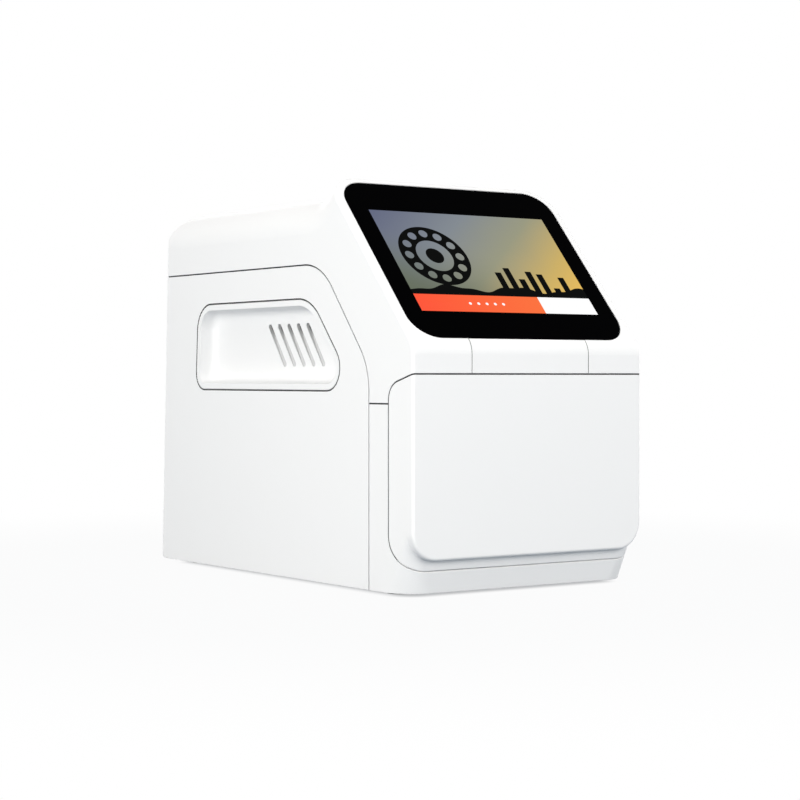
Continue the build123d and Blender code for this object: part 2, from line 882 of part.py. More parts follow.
# Fan behind its opening: frame with a strutted hub, rotor, and a ring guard outside
fan_hub = 12.0
fan_gap = 0.8
fan_shaft = 1.5
fan_corner = 3.0
strut_count = 4
strut_turn = 20.0
strut_width = 2.4
rotor_thick = 9.5
hub_cup = 3.0
blade_count = 7
blade_chord = 14.0
blade_thick = 1.2
blade_pitch = 32.0
blade_tip_gap = 1.2
blade_root = 0.5
guard_thick = 1.6
guard_wire = 2.0
guard_pitch = 6.5
guard_rings = 4
guard_arm = 2.4
guard_lug = 4.0
with BuildPart() as fan_frame:
    with BuildSketch(at_rear(wall)) as square:
        with Locations((fan_x, fan_height)):
            RectangleRounded(fan_size, fan_size, fan_corner)
            Circle(fan_bore, mode=Mode.SUBTRACT)
            with GridLocations(fan_screws, fan_screws, 2, 2):
                Circle(screw_radius, mode=Mode.SUBTRACT)
    extrude(square.sketch, amount=-fan_thick)
    with BuildSketch(at_rear(wall + fan_thick)) as struts:
        with Locations((fan_x, fan_height)):
            Circle(fan_hub)
            with PolarLocations(fan_bore / 2, strut_count, start_angle=strut_turn):
                Rectangle(fan_bore + 1, strut_width)
    extrude(struts.sketch, amount=hub_cup)
    bearing = fan_shaft + shaft_play
    disc(at_rear(wall + fan_thick), (fan_x, fan_height), bearing, hub_cup, Mode.SUBTRACT)
keep(fan_frame.part, "fan_frame")

with BuildPart(at_rear(wall + fan_thick - hub_cup - fan_gap)) as fan_rotor:
    with Locations((fan_x, fan_height)):
        Cylinder(fan_hub, rotor_thick, align=(Align.CENTER, Align.CENTER, Align.MIN))
        blade_reach = fan_bore - blade_tip_gap - fan_hub
        with PolarLocations(fan_hub + blade_reach / 2 - blade_root, blade_count):
            with Locations((0, 0, rotor_thick / 2)):
                blade = blade_reach + 2 * blade_root
                Box(blade, blade_chord, blade_thick, rotation=(blade_pitch, 0, 0))
    shaft_start = at_rear(wall + fan_thick - hub_cup - fan_gap)
    disc(shaft_start, (fan_x, fan_height), fan_shaft, -hub_cup)
keep(fan_rotor.part, "fan_rotor")

with BuildPart() as fan_guard:
    with BuildSketch(at_rear(0)) as rings:
        with Locations((fan_x, fan_height)):
            for ring in range(guard_rings):
                ring_radius = fan_bore - guard_wire / 2 - guard_pitch * ring
                Circle(ring_radius)
                Circle(ring_radius - guard_wire, mode=Mode.SUBTRACT)
            for turn in (45, 135):
                Rectangle(fan_screws * sqrt(2), guard_arm, rotation=turn)
            with GridLocations(fan_screws, fan_screws, 2, 2):
                Circle(guard_lug)
                Circle(screw_radius, mode=Mode.SUBTRACT)
    extrude(rings.sketch, amount=guard_thick)
keep(fan_guard.part, "fan_guard")

# Mains inlet, its pins in a deep socket, with a flange on the panel
flange_edge = 1.9
flange_thick = 1.5
flange_corner = 2.0
socket_depth = 17.0
socket_back = 4.0
socket_mouth = (24.0, 16.0)
socket_bevel = 3.5
pin_size = (2.0, 4.0)
pin_drop = 2.0
pin_spread = 7.0
pin_recess = 3.0
with BuildPart() as power_inlet:
    with BuildSketch(at_rear(0)) as flange:
        with Locations((inlet_x, inlet_height)):
            flange_size = [size + 2 * flange_edge for size in inlet_size]
            RectangleRounded(*flange_size, flange_corner)
    extrude(flange.sketch, amount=flange_thick)
    with BuildSketch(at_rear(0)) as body:
        with Locations((inlet_x, inlet_height)):
            Rectangle(*inlet_size)
    extrude(body.sketch, amount=-socket_depth - socket_back)
    with BuildSketch(at_rear(-flange_thick)) as socket:
        with Locations((inlet_x, inlet_height)):
            Rectangle(*socket_mouth)
        chamfer(socket.vertices().group_by(Axis.Z)[-1], socket_bevel)
    extrude(socket.sketch, amount=-socket_depth, mode=Mode.SUBTRACT)
    with BuildSketch(at_rear(socket_depth)) as pins:
        with Locations((inlet_x, inlet_height - pin_drop)):
            with Locations((-pin_spread, 0), (pin_spread, 0), (0, 2 * pin_drop)):
                Rectangle(*pin_size)
    extrude(pins.sketch, amount=socket_depth - pin_recess)
keep(power_inlet.part, "power_inlet")

# Power switch: a bezel with a rocker that tips about its middle
rocker_tilt = 7.0
rocker_pivot = 3.0
rocker_half = 8.6
rocker_play = 0.5
rocker_pin = 1.5
rocker_pin_half = 6.2
rocker_ends = (2.4, 0.6)
rocker_dip = 1.2
rocker_heel = (0.5, 0.2)
rocker_tail = 2.5
bezel_edge = 1.5
bezel_corner = 1.2
bezel_depth = 14.0
bezel_back = 3.0
with BuildPart() as switch_bezel:
    with BuildSketch(at_rear(0)) as bezel:
        with Locations((inlet_x, switch_height)):
            bezel_size = [size + 2 * bezel_edge for size in switch_size]
            RectangleRounded(*bezel_size, bezel_corner)
    extrude(bezel.sketch, amount=flange_thick)
    with BuildSketch(at_rear(0)) as box:
        with Locations((inlet_x, switch_height)):
            Rectangle(*switch_size)
    extrude(box.sketch, amount=-bezel_depth)
    with BuildSketch(at_rear(-flange_thick)) as window:
        with Locations((inlet_x, switch_height)):
            Rectangle(switch_size[0] - 2 * bezel_edge, 2 * (rocker_half + rocker_play))
    extrude(window.sketch, amount=bezel_back - bezel_depth, mode=Mode.SUBTRACT)
    pin_view = at_rear(rocker_pivot).from_local_coords(Vector(inlet_x, switch_height, 0))
    pin_plane = Plane(pin_view, z_dir=(1, 0, 0))
    pin_bore = rocker_pin + shaft_play
    with BuildSketch(pin_plane) as bore:
        Circle(pin_bore)
    extrude(bore.sketch, amount=rocker_pin_half, both=True, mode=Mode.SUBTRACT)
keep(switch_bezel.part, "switch_bezel")

rocker_width = switch_size[0] - 2 * bezel_edge - 2 * rocker_play
pivot_on_panel = pin_view
rocker_view = Plane(
    pivot_on_panel - Vector(rocker_width / 2, 0, 0),
    x_dir=(0, cos(lean), sin(lean)),
    z_dir=(1, 0, 0),
)
with BuildPart() as power_rocker:
    with BuildSketch(rocker_view) as side:
        with BuildLine():
            Polyline(
                (rocker_pivot + rocker_ends[0], rocker_half - rocker_ends[1]),
                (rocker_pivot + rocker_dip, 0),
                (rocker_pivot + rocker_ends[0], rocker_ends[1] - rocker_half),
                (rocker_heel[0], rocker_heel[1] - rocker_half),
                (-rocker_tail, -rocker_tail),
                (-rocker_tail, rocker_tail),
                (rocker_heel[0], rocker_half - rocker_heel[1]),
                close=True,
            )
        make_face()
    rocker_face = side.sketch.rotate(Axis(pivot_on_panel, (1, 0, 0)), -rocker_tilt)
    extrude(rocker_face, amount=rocker_width, dir=(1, 0, 0))
    with BuildSketch(pin_plane) as pin:
        Circle(rocker_pin)
    extrude(pin.sketch, amount=rocker_pin_half - 2 * shaft_play, both=True)
keep(power_rocker.part, "power_rocker")

# Data sockets on their own upright board
jack_shy = 0.3
jack_wall = 1.0
jack_back = 4.0
with BuildPart() as port_board:
    with BuildSketch(at_rear(jack_depth)) as board:
        with Locations((ports_x, ports_height)):
            Rectangle(board_posts[0] + 4 * screw_radius, board_posts[1] + 4 * screw_radius)
            with GridLocations(*board_posts, 2, 2):
                Circle(screw_radius, mode=Mode.SUBTRACT)
    extrude(board.sketch, amount=-board_thick)
    for across, jack_width, jack_height in jack_sizes:
        with BuildSketch(at_rear(jack_depth)) as jack:
            with Locations((ports_x + across, ports_height)):
                Rectangle(jack_width, jack_height)
        extrude(jack.sketch, amount=jack_depth - jack_shy)
        with BuildSketch(at_rear(0)) as bore:
            with Locations((ports_x + across, ports_height)):
                Rectangle(jack_width - 2 * jack_wall, jack_height - 2 * jack_wall)
        extrude(bore.sketch, amount=jack_back - jack_depth, mode=Mode.SUBTRACT)
keep(port_board.part, "port_board")

# Base plate with four feet
foot_side = 21.0
foot_front = 44.0
foot_behind = 31.0
foot_radius = 9.0
foot_taper = 6.0
foot_x = half_width - foot_side
foot_back = depth - foot_behind
base_screw_inset = (33.0, 20.0)
base_screw_side = 5.0
base_screw_x = bracket_inner - base_screw_side
base_screw_ends = (bracket_start + base_screw_inset[0], bracket_end - base_screw_inset[1])
base_screw_places = [
    (x, back)
    for x in (-base_screw_x, base_screw_x)
    for back in (base_screw_ends[0], sum(base_screw_ends) / 2, base_screw_ends[1])
]
with BuildPart() as base_plate:
    rear_inner = depth - rear_bottom_round
    side_inner = half_width - wall - base_fit
    front_inner = chin_depth + wall + base_fit
    corner = chin_corner - wall - base_fit
    plan = [
        (-side_inner, front_inner, corner),
        (side_inner, front_inner, corner),
        (side_inner, rear_inner, 0),
        (-side_inner, rear_inner, 0),
    ]
    extrude(outline(at_height(0), plan), amount=base_thick)
    with BuildSketch(at_height(0)) as vents:
        with Locations((0, depth / 2)):
            with GridLocations(*base_vent_pitch, *base_vent_counts):
                Rectangle(*base_vent)
    extrude(vents.sketch, amount=base_thick, mode=Mode.SUBTRACT)
    for place in base_screw_places:
        disc(at_height(0), place, screw_radius, base_thick, Mode.SUBTRACT)
keep(base_plate.part, "base_plate")

foot_places = [(x, d) for x in (-foot_x, foot_x) for d in (foot_front, foot_back)]
with BuildPart() as rubber_feet:
    with BuildSketch(at_height(-foot_stand)) as pads:
        with Locations(*foot_places):
            Circle(foot_radius)
    extrude(pads.sketch, amount=foot_stand, taper=-foot_taper)
keep(rubber_feet.part, "rubber_feet")

# Drawer chassis: folded sheet, open at the top and back, bolted to the drawer front
bar_screw_ends = (bar_start + bar_screw_inset[0], bar_end - bar_screw_inset[1])
bar_screws = [
    (back, rail_height)
    for back in (bar_screw_ends[0], sum(bar_screw_ends) / 2, bar_screw_ends[1])
]
flag_inset = 5.0
flag_drop = 10.0
flag_length = 8.0
flag_x = chassis_half_width - flag_inset
flag_depth = (chassis_end - 1.5 * flag_length, chassis_end - flag_length / 2)
with BuildPart() as drawer_chassis:
    outer = (-chassis_half_width, chassis_half_width)
    inside = chassis_half_width - sheet
    block(outer, (cap_back, chassis_end), (chassis_bottom, chassis_top))
    hollow_up = (chassis_bottom + sheet, chassis_top + 1)
    block((-inside, inside), (cap_back + sheet, chassis_end + 1), hollow_up, Mode.SUBTRACT)
    window_up = (chassis_bottom + 4 * sheet, chassis_top + 1)
    window_back = (cap_back - 1, cap_back + 2 * sheet)
    block((-flange_window, flange_window), window_back, window_up, Mode.SUBTRACT)
    with BuildSketch(at_side(-width)) as openings:
        with Locations((chassis_end - side_slot_inset, chassis_top - side_slot_drop)):
            SlotOverall(*side_slot)
        with Locations(*bar_screws):
            Circle(screw_radius)
    extrude(openings.sketch, amount=2 * width, mode=Mode.SUBTRACT)
    flag = (flag_x - sheet / 2, flag_x + sheet / 2)
    block(flag, flag_depth, (chassis_bottom - flag_drop, chassis_bottom))
    for place in front_screw_places:
        disc(at_depth(cap_back), place, screw_radius, -sheet, Mode.SUBTRACT)
keep(drawer_chassis.part, "drawer_chassis")

# Deck of the drawer with a round well for the reagent disc
hub_clearance = 13.0
light_radius = 4.0
light_offset = 40.0
with BuildPart() as drawer_tray:
    outer = (-deck_half_width, deck_half_width)
    block(outer, (deck_start, deck_end), (deck_top - deck_thick, deck_top))
    for side in (-1, 1):
        skirt = sorted((side * (deck_half_width - deck_thick), side * deck_half_width))
        block(skirt, (deck_start, deck_end), (chassis_top, deck_top))
    floor_bottom = at_height(well_floor - well_wall)
    centre = (0, disc_depth)
    disc(floor_bottom, centre, well_radius + well_wall, deck_top - well_floor + well_wall)
    disc(at_height(well_floor), centre, well_radius, beyond, Mode.SUBTRACT)
    disc(floor_bottom, centre, hub_clearance, well_wall, Mode.SUBTRACT)
    light = (0, disc_depth + light_offset)
    disc(floor_bottom, light, light_radius, well_wall, Mode.SUBTRACT)
    rim = drawer_tray.edges().filter_by(GeomType.CIRCLE).group_by(Axis.Z)[-1]
    fillet(rim, well_rim_round)
keep(drawer_tray.part, "drawer_tray")

# Slide bars on the chassis and the guide rails they run in
bar_outer = bracket_inner - sheet - slide_play
bar_half_height = rail_half_height - rail_lip - slide_play
with BuildPart() as left_slide_bar:
    up = (rail_height - bar_half_height, rail_height + bar_half_height)
    block((-bar_outer, -chassis_half_width), (bar_start, bar_end), up)
    with BuildSketch(at_side(-bar_outer)) as holes:
        with Locations(*bar_screws):
            Circle(screw_radius)
    extrude(holes.sketch, amount=bar_outer, mode=Mode.SUBTRACT)
    chamfer(left_slide_bar.faces().sort_by(Axis.Y)[-1].edges(), bar_chamfer)
keep(left_slide_bar.part, "left_slide_bar")
with BuildPart() as right_slide_bar:
    mirror(left_slide_bar.part, about=Plane.YZ)
keep(right_slide_bar.part, "right_slide_bar")

with BuildPart() as left_guide_rail:
    up = (rail_height - rail_half_height, rail_height + rail_half_height)
    block((-bracket_inner, -rail_inner), (rail_start, rail_end), up)
    clear = rail_half_height - rail_lip
    inside_up = (rail_height - clear, rail_height + clear)
    run = (rail_start - 1, rail_end + 1)
    block((sheet - bracket_inner, -rail_inner + 1), run, inside_up, Mode.SUBTRACT)
keep(left_guide_rail.part, "left_guide_rail")
with BuildPart() as right_guide_rail:
    mirror(left_guide_rail.part, about=Plane.YZ)
keep(right_guide_rail.part, "right_guide_rail")

# Upright brackets carrying the rails and, on their front posts, the upper shelf
with BuildPart() as left_chassis_bracket:
    plate_across = (-bracket_inner - sheet, -bracket_inner)
    block(plate_across, (bracket_start, bracket_end), (base_thick, bracket_top))
    block(plate_across, (bracket_start, bracket_start + post_width), (base_thick, shelf_height))
    foot_across = (-bracket_inner, -chassis_half_width)
    block(foot_across, (bracket_start, bracket_end), (base_thick, base_thick + sheet))
    with BuildSketch(at_side(-bracket_inner - sheet)) as windows:
        for up in bracket_windows_up:
            with Locations(((bracket_start + bracket_end) / 2, rail_height + up)):
                with GridLocations(bracket_window_step, 1, 3, 1):
                    Rectangle(*bracket_window_size)
    extrude(windows.sketch, amount=sheet, mode=Mode.SUBTRACT)
    for place in base_screw_places:
        disc(at_height(base_thick), place, screw_radius, sheet, Mode.SUBTRACT)
keep(left_chassis_bracket.part, "left_chassis_bracket")
with BuildPart() as right_chassis_bracket:
    mirror(left_chassis_bracket.part, about=Plane.YZ)
keep(right_chassis_bracket.part, "right_chassis_bracket")

# Rack under the chassis and the pinion that drives it
tooth_pitch = pi * rack_module
rack_teeth = ceil((travel + rack_spare) / tooth_pitch)
pitch_radius = pinion_teeth * rack_module / 2
dedendum = 1.25 * rack_module
pitch_line = pinion_height + pitch_radius
tooth_slope = tan(radians(pressure_angle))
gear_start = gear_x - gear_face / 2
with BuildPart() as drawer_rack:
    half = tooth_pitch / 4 - backlash / 4
    first = pinion_depth - (teeth_ahead + 0.5) * tooth_pitch
    run = (first - tooth_pitch / 2, first + (rack_teeth - 0.5) * tooth_pitch)
    rack_across = (gear_start, gear_start + gear_face)
    block(rack_across, run, (pitch_line + dedendum, chassis_bottom))
    with BuildSketch(at_side(gear_start)) as teeth:
        for tooth in range(rack_teeth):
            with Locations((first + tooth * tooth_pitch, pitch_line)):
                Polygon(
                    (-half + rack_module * tooth_slope, -rack_module),
                    (half - rack_module * tooth_slope, -rack_module),
                    (half + dedendum * tooth_slope, dedendum),
                    (-half - dedendum * tooth_slope, dedendum),
                    align=None,
                )
    extrude(teeth.sketch, amount=gear_face)
keep(drawer_rack.part, "drawer_rack")


def involute(angle):
    """Involute function of a pressure angle in radians."""
    return tan(angle) - angle


def tooth_point(radius, side):
    """Point on a pinion tooth's flank; the tooth points along local x."""
    base = pitch_radius * cos(radians(pressure_angle))
    at_pitch = pi / (2 * pinion_teeth) - backlash / (4 * pitch_radius)
    spread = at_pitch + involute(radians(pressure_angle))
    if radius > base:
        spread -= involute(acos(base / radius))
    return (radius * cos(spread), side * radius * sin(spread))


motor_face = -19.0
motor_length = 48.0
motor_radius = 12.5
motor_step = 1.5
motor_lid = 2.0
gearbox_length = 20.0
shaft_in_motor = 16.0
collar_thick = 2.5
bracket_wide = 3.0
flank_steps = 5
flank_root = 0.3
flank_foot = 0.6
with BuildPart() as drive_pinion:
    root = pitch_radius - dedendum
    tip = pitch_radius + rack_module
    foot_radii = root + flank_foot
    radii = [root - flank_root] + [
        foot_radii + step * (tip - foot_radii) / flank_steps for step in range(flank_steps + 1)
    ]
    flank = [tooth_point(radius, -1) for radius in radii]
    flank += [tooth_point(radius, 1) for radius in reversed(radii)]
    with BuildSketch(at_side(gear_start)) as gear:
        with Locations((pinion_depth, pinion_height)):
            Circle(root)
            with PolarLocations(0, pinion_teeth):
                Polygon(*flank, align=None)
    extrude(gear.sketch, amount=gear_face)
    centre = (pinion_depth, pinion_height)
    disc(at_side(gear_start), centre, shaft_radius, motor_face - gear_start - shaft_in_motor)
    disc(at_side(gear_start), centre, 2.5 * shaft_radius, -collar_thick)
keep(drive_pinion.part, "drive_pinion")

# Drawer motor on its bracket
with BuildPart() as drawer_motor:
    centre = (pinion_depth, pinion_height)
    disc(at_side(motor_face), centre, motor_radius, -gearbox_length)
    can_radius = motor_radius - motor_step
    disc(at_side(motor_face - gearbox_length), centre, can_radius, gearbox_length - motor_length)
    disc(at_side(motor_face - motor_length), centre, motor_radius / 2, -motor_lid)
    bore = shaft_radius + shaft_play
    disc(at_side(motor_face), centre, bore, -shaft_in_motor - motor_lid, Mode.SUBTRACT)
keep(drawer_motor.part, "drawer_motor")

with BuildPart() as motor_bracket:
    half = motor_radius + bracket_wide
    back = (pinion_depth - half, pinion_depth + half)
    top = pinion_height + motor_radius + bracket_wide / 3
    block((motor_face, motor_face + sheet), back, (base_thick, top))
    block((motor_face - motor_radius, motor_face + sheet), back, (base_thick, base_thick + sheet))
    hole = at_side(motor_face)
    disc(hole, (pinion_depth, pinion_height), 2 * shaft_radius, sheet, Mode.SUBTRACT)
keep(motor_bracket.part, "motor_bracket")

# Spindle motor in the drawer and the hub that turns the disc
spindle_radius = 22.0
spindle_drop = 20.5
spindle_flange = 2.5
spindle_flange_corner = 4.0
spindle_flange_wide = 2.3
spindle_hole_pitch = 1.9
spindle_boss = 10.0
boss_high = 6.0
hub_shaft = 3.0
shaft_in_spindle = 30.0
neck_gap = 2.0
turntable_gap = 1.5
turntable_thick = 3.0
turntable_radius = 28.0
hub_nose = 5.0
nose_high = 7.0
nose_chamfer = 1.0
dog_radius = 2.0
dog_high = 2.5
dog_inset = 5.0
dog_count = 3
spindle_top = well_floor - spindle_drop
boss_top = spindle_top + boss_high
hub_start = boss_top - shaft_in_spindle
neck_bottom = boss_top + neck_gap
turntable_bottom = well_floor + turntable_gap
turntable_top = turntable_bottom + turntable_thick
with BuildPart() as spindle_motor:
    centre = (0, disc_depth)
    stand = chassis_bottom + sheet
    with BuildSketch(at_height(stand)) as flange:
        with Locations(centre):
            flange_side_length = spindle_flange_wide * spindle_radius
            RectangleRounded(flange_side_length, flange_side_length, spindle_flange_corner)
            pitch = spindle_hole_pitch * spindle_radius
            with GridLocations(pitch, pitch, 2, 2):
                Circle(screw_radius, mode=Mode.SUBTRACT)
    extrude(flange.sketch, amount=spindle_flange)
    disc(at_height(stand), centre, spindle_radius, spindle_top - stand)
    disc(at_height(spindle_top), centre, spindle_boss, boss_top - spindle_top)
    bore = hub_shaft + shaft_play
    disc(at_height(hub_start - 1), centre, bore, boss_top - hub_start + 1, Mode.SUBTRACT)
keep(spindle_motor.part, "spindle_motor")

with BuildPart() as disc_hub:
    centre = (0, disc_depth)
    disc(at_height(hub_start), centre, hub_shaft, neck_bottom - hub_start)
    disc(at_height(neck_bottom), centre, spindle_boss, turntable_bottom - neck_bottom)
    disc(at_height(turntable_bottom), centre, turntable_radius, turntable_top - turntable_bottom)
    disc(at_height(turntable_top), centre, hub_nose, nose_high)
    with BuildSketch(at_height(turntable_top)) as dogs:
        with Locations(centre):
            with PolarLocations(turntable_radius - dog_inset, dog_count):
                Circle(dog_radius)
    extrude(dogs.sketch, amount=dog_high)
    chamfer(disc_hub.faces().sort_by(Axis.Z)[-1].edges(), nose_chamfer)
keep(disc_hub.part, "disc_hub")

# Upper shelf: a folded sheet on the brackets' posts and its own rear leg
leg_foot = 6.0
with BuildPart() as upper_shelf:
    shelf_up = (shelf_height, shelf_height + sheet)
    block((-shelf_half_width, shelf_half_width), (shelf_start, shelf_end), shelf_up)
    ears = bracket_inner + sheet
    block((-ears, ears), (shelf_start, bracket_start + post_width), shelf_up)
    block((-shelf_half_width, shelf_half_width), (shelf_end - sheet, shelf_end), (base_thick, shelf_height))
    foot_up = (base_thick, base_thick + sheet)
    block((-shelf_half_width, shelf_half_width), (shelf_end, shelf_end + leg_foot), foot_up)
    with BuildSketch(at_depth(shelf_end)) as windows:
        with Locations((0, shelf_height / 2)):
            with GridLocations(shelf_window_pitch, shelf_window_pitch, 3, 3):
                Rectangle(shelf_window, shelf_window)
        chamfer(windows.vertices(), sheet_corner)
    extrude(windows.sketch, amount=sheet, mode=Mode.SUBTRACT)
    with BuildSketch(at_height(shelf_height)) as holes:
        with Locations((0, disc_depth)):
            with GridLocations(shelf_slot_pitch, 1, 3, 1):
                Rectangle(*shelf_slot)
    extrude(holes.sketch, amount=sheet, mode=Mode.SUBTRACT)
keep(upper_shelf.part, "upper_shelf")

# Photometer: a C-shaped block reaching over and under the disc's rim, with a vertical beam
jaw_start = 100.0
web_start = 134.0
web_end = 160.0
jaw_thick = 7.0
jaw_drop = 5.5
jaw_rise = 3.5
hanger = (140.0, 154.0)
hanger_round = 2.0
beam_radius = 2.0
jaw_low = (well_floor - jaw_drop - jaw_thick, well_floor - jaw_drop)
jaw_high = (deck_top + jaw_rise, deck_top + jaw_rise + jaw_thick)
with BuildPart() as photometer_block:
    fork = [
        (jaw_start, jaw_low[0], 0),
        (web_end, jaw_low[0], hanger_round),
        (web_end, jaw_high[1], 0),
        (hanger[1], jaw_high[1], 0),
        (hanger[1], shelf_height, 0),
        (hanger[0], shelf_height, 0),
        (hanger[0], jaw_high[1], 0),
        (jaw_start, jaw_high[1], hanger_round),
        (jaw_start, jaw_high[0], 0),
        (web_start, jaw_high[0], hanger_round),
        (web_start, jaw_low[1], hanger_round),
        (jaw_start, jaw_low[1], 0),
    ]
    extrude(outline(at_side(-jaw_half_width), fork), amount=2 * jaw_half_width)
    light = (0, disc_depth + light_offset)
    disc(at_height(0), light, beam_radius, shelf_height, Mode.SUBTRACT)
keep(photometer_block.part, "photometer_block")

lamp_radius = 8.0
lamp_length = 25.0
lamp_flange = 2.5
lamp_fin = 1.2
lamp_fin_reach = 2.0
lamp_fins = 3
lamp_rise = 3.0
with BuildPart() as lamp_module:
    lamp = (0, jaw_low[1] + lamp_rise)
    fin_radius = lamp_radius + lamp_fin_reach
    disc(at_depth(web_end), lamp, lamp_radius, -lamp_length)
    disc(at_depth(web_end), lamp, fin_radius, -lamp_flange)
    for ring in range(1, lamp_fins + 1):
        disc(at_depth(web_end + ring * lamp_length / (lamp_fins + 1)), lamp, fin_radius, -lamp_fin)
keep(lamp_module.part, "lamp_module")

detector_size = (22.0, 12.0, 16.0)
detector_plug = 2.0
detector_margin = 3.0
with BuildPart() as detector_module:
    half = detector_size[0] / 2
    top = jaw_high[1] - detector_margin / 3
    back = (web_end, web_end + detector_size[1])
    block((-half, half), back, (top - detector_size[2], top))
    plug = (back[1], back[1] + detector_plug)
    plug_up = (top - detector_size[2] + detector_margin, top - detector_margin)
    block((-half + detector_margin, half - detector_margin), plug, plug_up)
keep(detector_module.part, "detector_module")

# Heater plate above the disc well, hung from the shelf on four spacers
heater_radius = 46.0
heater_rise = 4.0
heater_thick = 3.0
notch_play = 2.0
spacer_pitch = (1.4, 1.0)
notch_half = jaw_half_width + notch_play
heater_bottom = deck_top + heater_rise
with BuildPart() as heater_plate:
    centre = (0, disc_depth)
    disc(at_height(heater_bottom), centre, heater_radius, heater_thick)
    notch = (jaw_start - 2 * wall, jaw_start + heater_radius)
    heater_top = heater_bottom + heater_thick
    block((-notch_half, notch_half), notch, (heater_bottom, heater_top), Mode.SUBTRACT)
    with BuildSketch(at_height(heater_top)) as spacers:
        with Locations(centre):
            with GridLocations(*[heater_radius * share for share in spacer_pitch], 2, 2):
                Circle(2 * screw_radius)
    extrude(spacers.sketch, amount=shelf_height - heater_top)
keep(heater_plate.part, "heater_plate")

# Main board on standoffs above the shelf
main_start = 100.0
main_behind = 10.0
main_side = 10.0
standoff = 6.0
board_screw_inset = 6.0
cooler_half = 17.0
cooler_place = (-31.0, 57.0)
cooler_base = 3.0
cooler_high = 14.0
fin_count = 6
fin_thick = 2.0
chip_size = (9.0, 16.0, 1.5)
chip_pitch = 13.0
chip_count = 4
chip_place = (18.0, 52.0)
capacitor_radius = 5.0
capacitor_high = 14.0
capacitor_pitch = 12.0
capacitor_place = (-38.0, 96.0)
socket_size = (30.0, 8.0, 9.0)
socket_pitch = 40.0
socket_inset = 12.0
main_end = shelf_end - main_behind
main_half_width = shelf_half_width - main_side
with BuildPart() as main_board:
    board_bottom = shelf_height + sheet + standoff
    board_top = board_bottom + board_thick
    middle = (0, (main_start + main_end) / 2)
    across = 2 * (main_half_width - board_screw_inset)
    along = main_end - main_start - 2 * board_screw_inset
    with BuildSketch(at_height(shelf_height + sheet)) as standoffs:
        with Locations(middle):
            with GridLocations(across, along, 2, 2):
                Circle(2 * screw_radius)
    extrude(standoffs.sketch, amount=standoff)
    block((-main_half_width, main_half_width), (main_start, main_end), (board_bottom, board_top))
    # Cooler with fins, memory chips, capacitors and a row of connectors at the front edge
    cooler_x = (cooler_place[0] - cooler_half, cooler_place[0] + cooler_half)
    cooler_back = main_start + cooler_place[1]
    cooler_run = (cooler_back - cooler_half, cooler_back + cooler_half)
    fin_up = (board_top + cooler_base, board_top + cooler_high)
    block(cooler_x, cooler_run, (board_top, board_top + cooler_base))
    for fin in range(fin_count):
        left = cooler_x[0] + fin * (2 * cooler_half - fin_thick) / (fin_count - 1)
        block((left, left + fin_thick), cooler_run, fin_up)
    with BuildSketch(at_height(board_top)) as chips:
        with Locations((chip_place[0], main_start + chip_place[1])):
            with GridLocations(chip_pitch, 1, chip_count, 1):
                Rectangle(chip_size[0], chip_size[1])
    extrude(chips.sketch, amount=chip_size[2])
    with BuildSketch(at_height(board_top)) as capacitors:
        with Locations((capacitor_place[0], main_start + capacitor_place[1])):
            with GridLocations(capacitor_pitch, 1, 3, 1):
                Circle(capacitor_radius)
    extrude(capacitors.sketch, amount=capacitor_high)
    with BuildSketch(at_height(board_top)) as sockets:
        with Locations((0, main_start + socket_inset)):
            with GridLocations(socket_pitch, 1, 3, 1):
                Rectangle(socket_size[0], socket_size[1])
    extrude(sockets.sketch, amount=socket_size[2])
keep(main_board.part, "main_board")

# Power supply in a slotted case behind the shelf's leg
supply_inlet_gap = 8.2
supply_gap = 7.0
supply_behind = 19.0
supply_high = 39.5
supply_slot = (3.0, 24.0)
supply_slot_pitch = (7.0, 30.0)
supply_slot_counts = (15, 2)
supply_slot_deep = 1.0
terminal_size = (32.0, 5.0, 14.0)
terminal_inset = 8.0
supply_across = (-shelf_half_width, -inlet_x - inlet_size[0] / 2 - supply_inlet_gap)
supply_back = (shelf_end + supply_gap, depth - supply_behind)
supply_top = base_thick + supply_high
with BuildPart() as power_supply:
    block(supply_across, supply_back, (base_thick, supply_top))
    with BuildSketch(at_height(supply_top - supply_slot_deep)) as slots:
        with Locations((sum(supply_across) / 2, sum(supply_back) / 2)):
            with GridLocations(*supply_slot_pitch, *supply_slot_counts):
                Rectangle(*supply_slot)
    extrude(slots.sketch, amount=supply_slot_deep, mode=Mode.SUBTRACT)
    terminal_end = supply_across[1] - terminal_inset
    terminal_up = (terminal_size[2], 2 * terminal_size[2])
    terminal_back = (supply_back[0] - terminal_size[1], supply_back[0])
    block((terminal_end - terminal_size[0], terminal_end), terminal_back, terminal_up)
keep(power_supply.part, "power_supply")

# Sensor with a slot for the flag on the drawer chassis
sensor_arms = (7.0, 4.0)
sensor_slot = 2.0
sensor_margin = 2.0
sensor_drop = 3.0
sensor_across = (flag_x - sensor_arms[0], flag_x + sensor_arms[1])
sensor_back = (flag_depth[0] - sensor_margin, flag_depth[1] + sensor_margin)
sensor_top = chassis_bottom - sensor_drop
with BuildPart() as home_sensor:
    block(sensor_across, sensor_back, (base_thick, sensor_top))
    gap = (flag_x - sensor_slot, flag_x + sensor_slot)
    past = (sensor_back[0] - 1, sensor_back[1] + 1)
    gap_bottom = chassis_bottom - flag_drop - sensor_drop
    block(gap, past, (gap_bottom, sensor_top + 1), Mode.SUBTRACT)
keep(home_sensor.part, "home_sensor")


# Screws, one node for each kind of joint they make
def screw(plane, place, shank):
    """Pan-head screw seated on a plane, head towards the normal, shank the other way."""
    disc(plane, place, screw_head, head_thick)
    disc(plane, place, screw_radius, -shank)


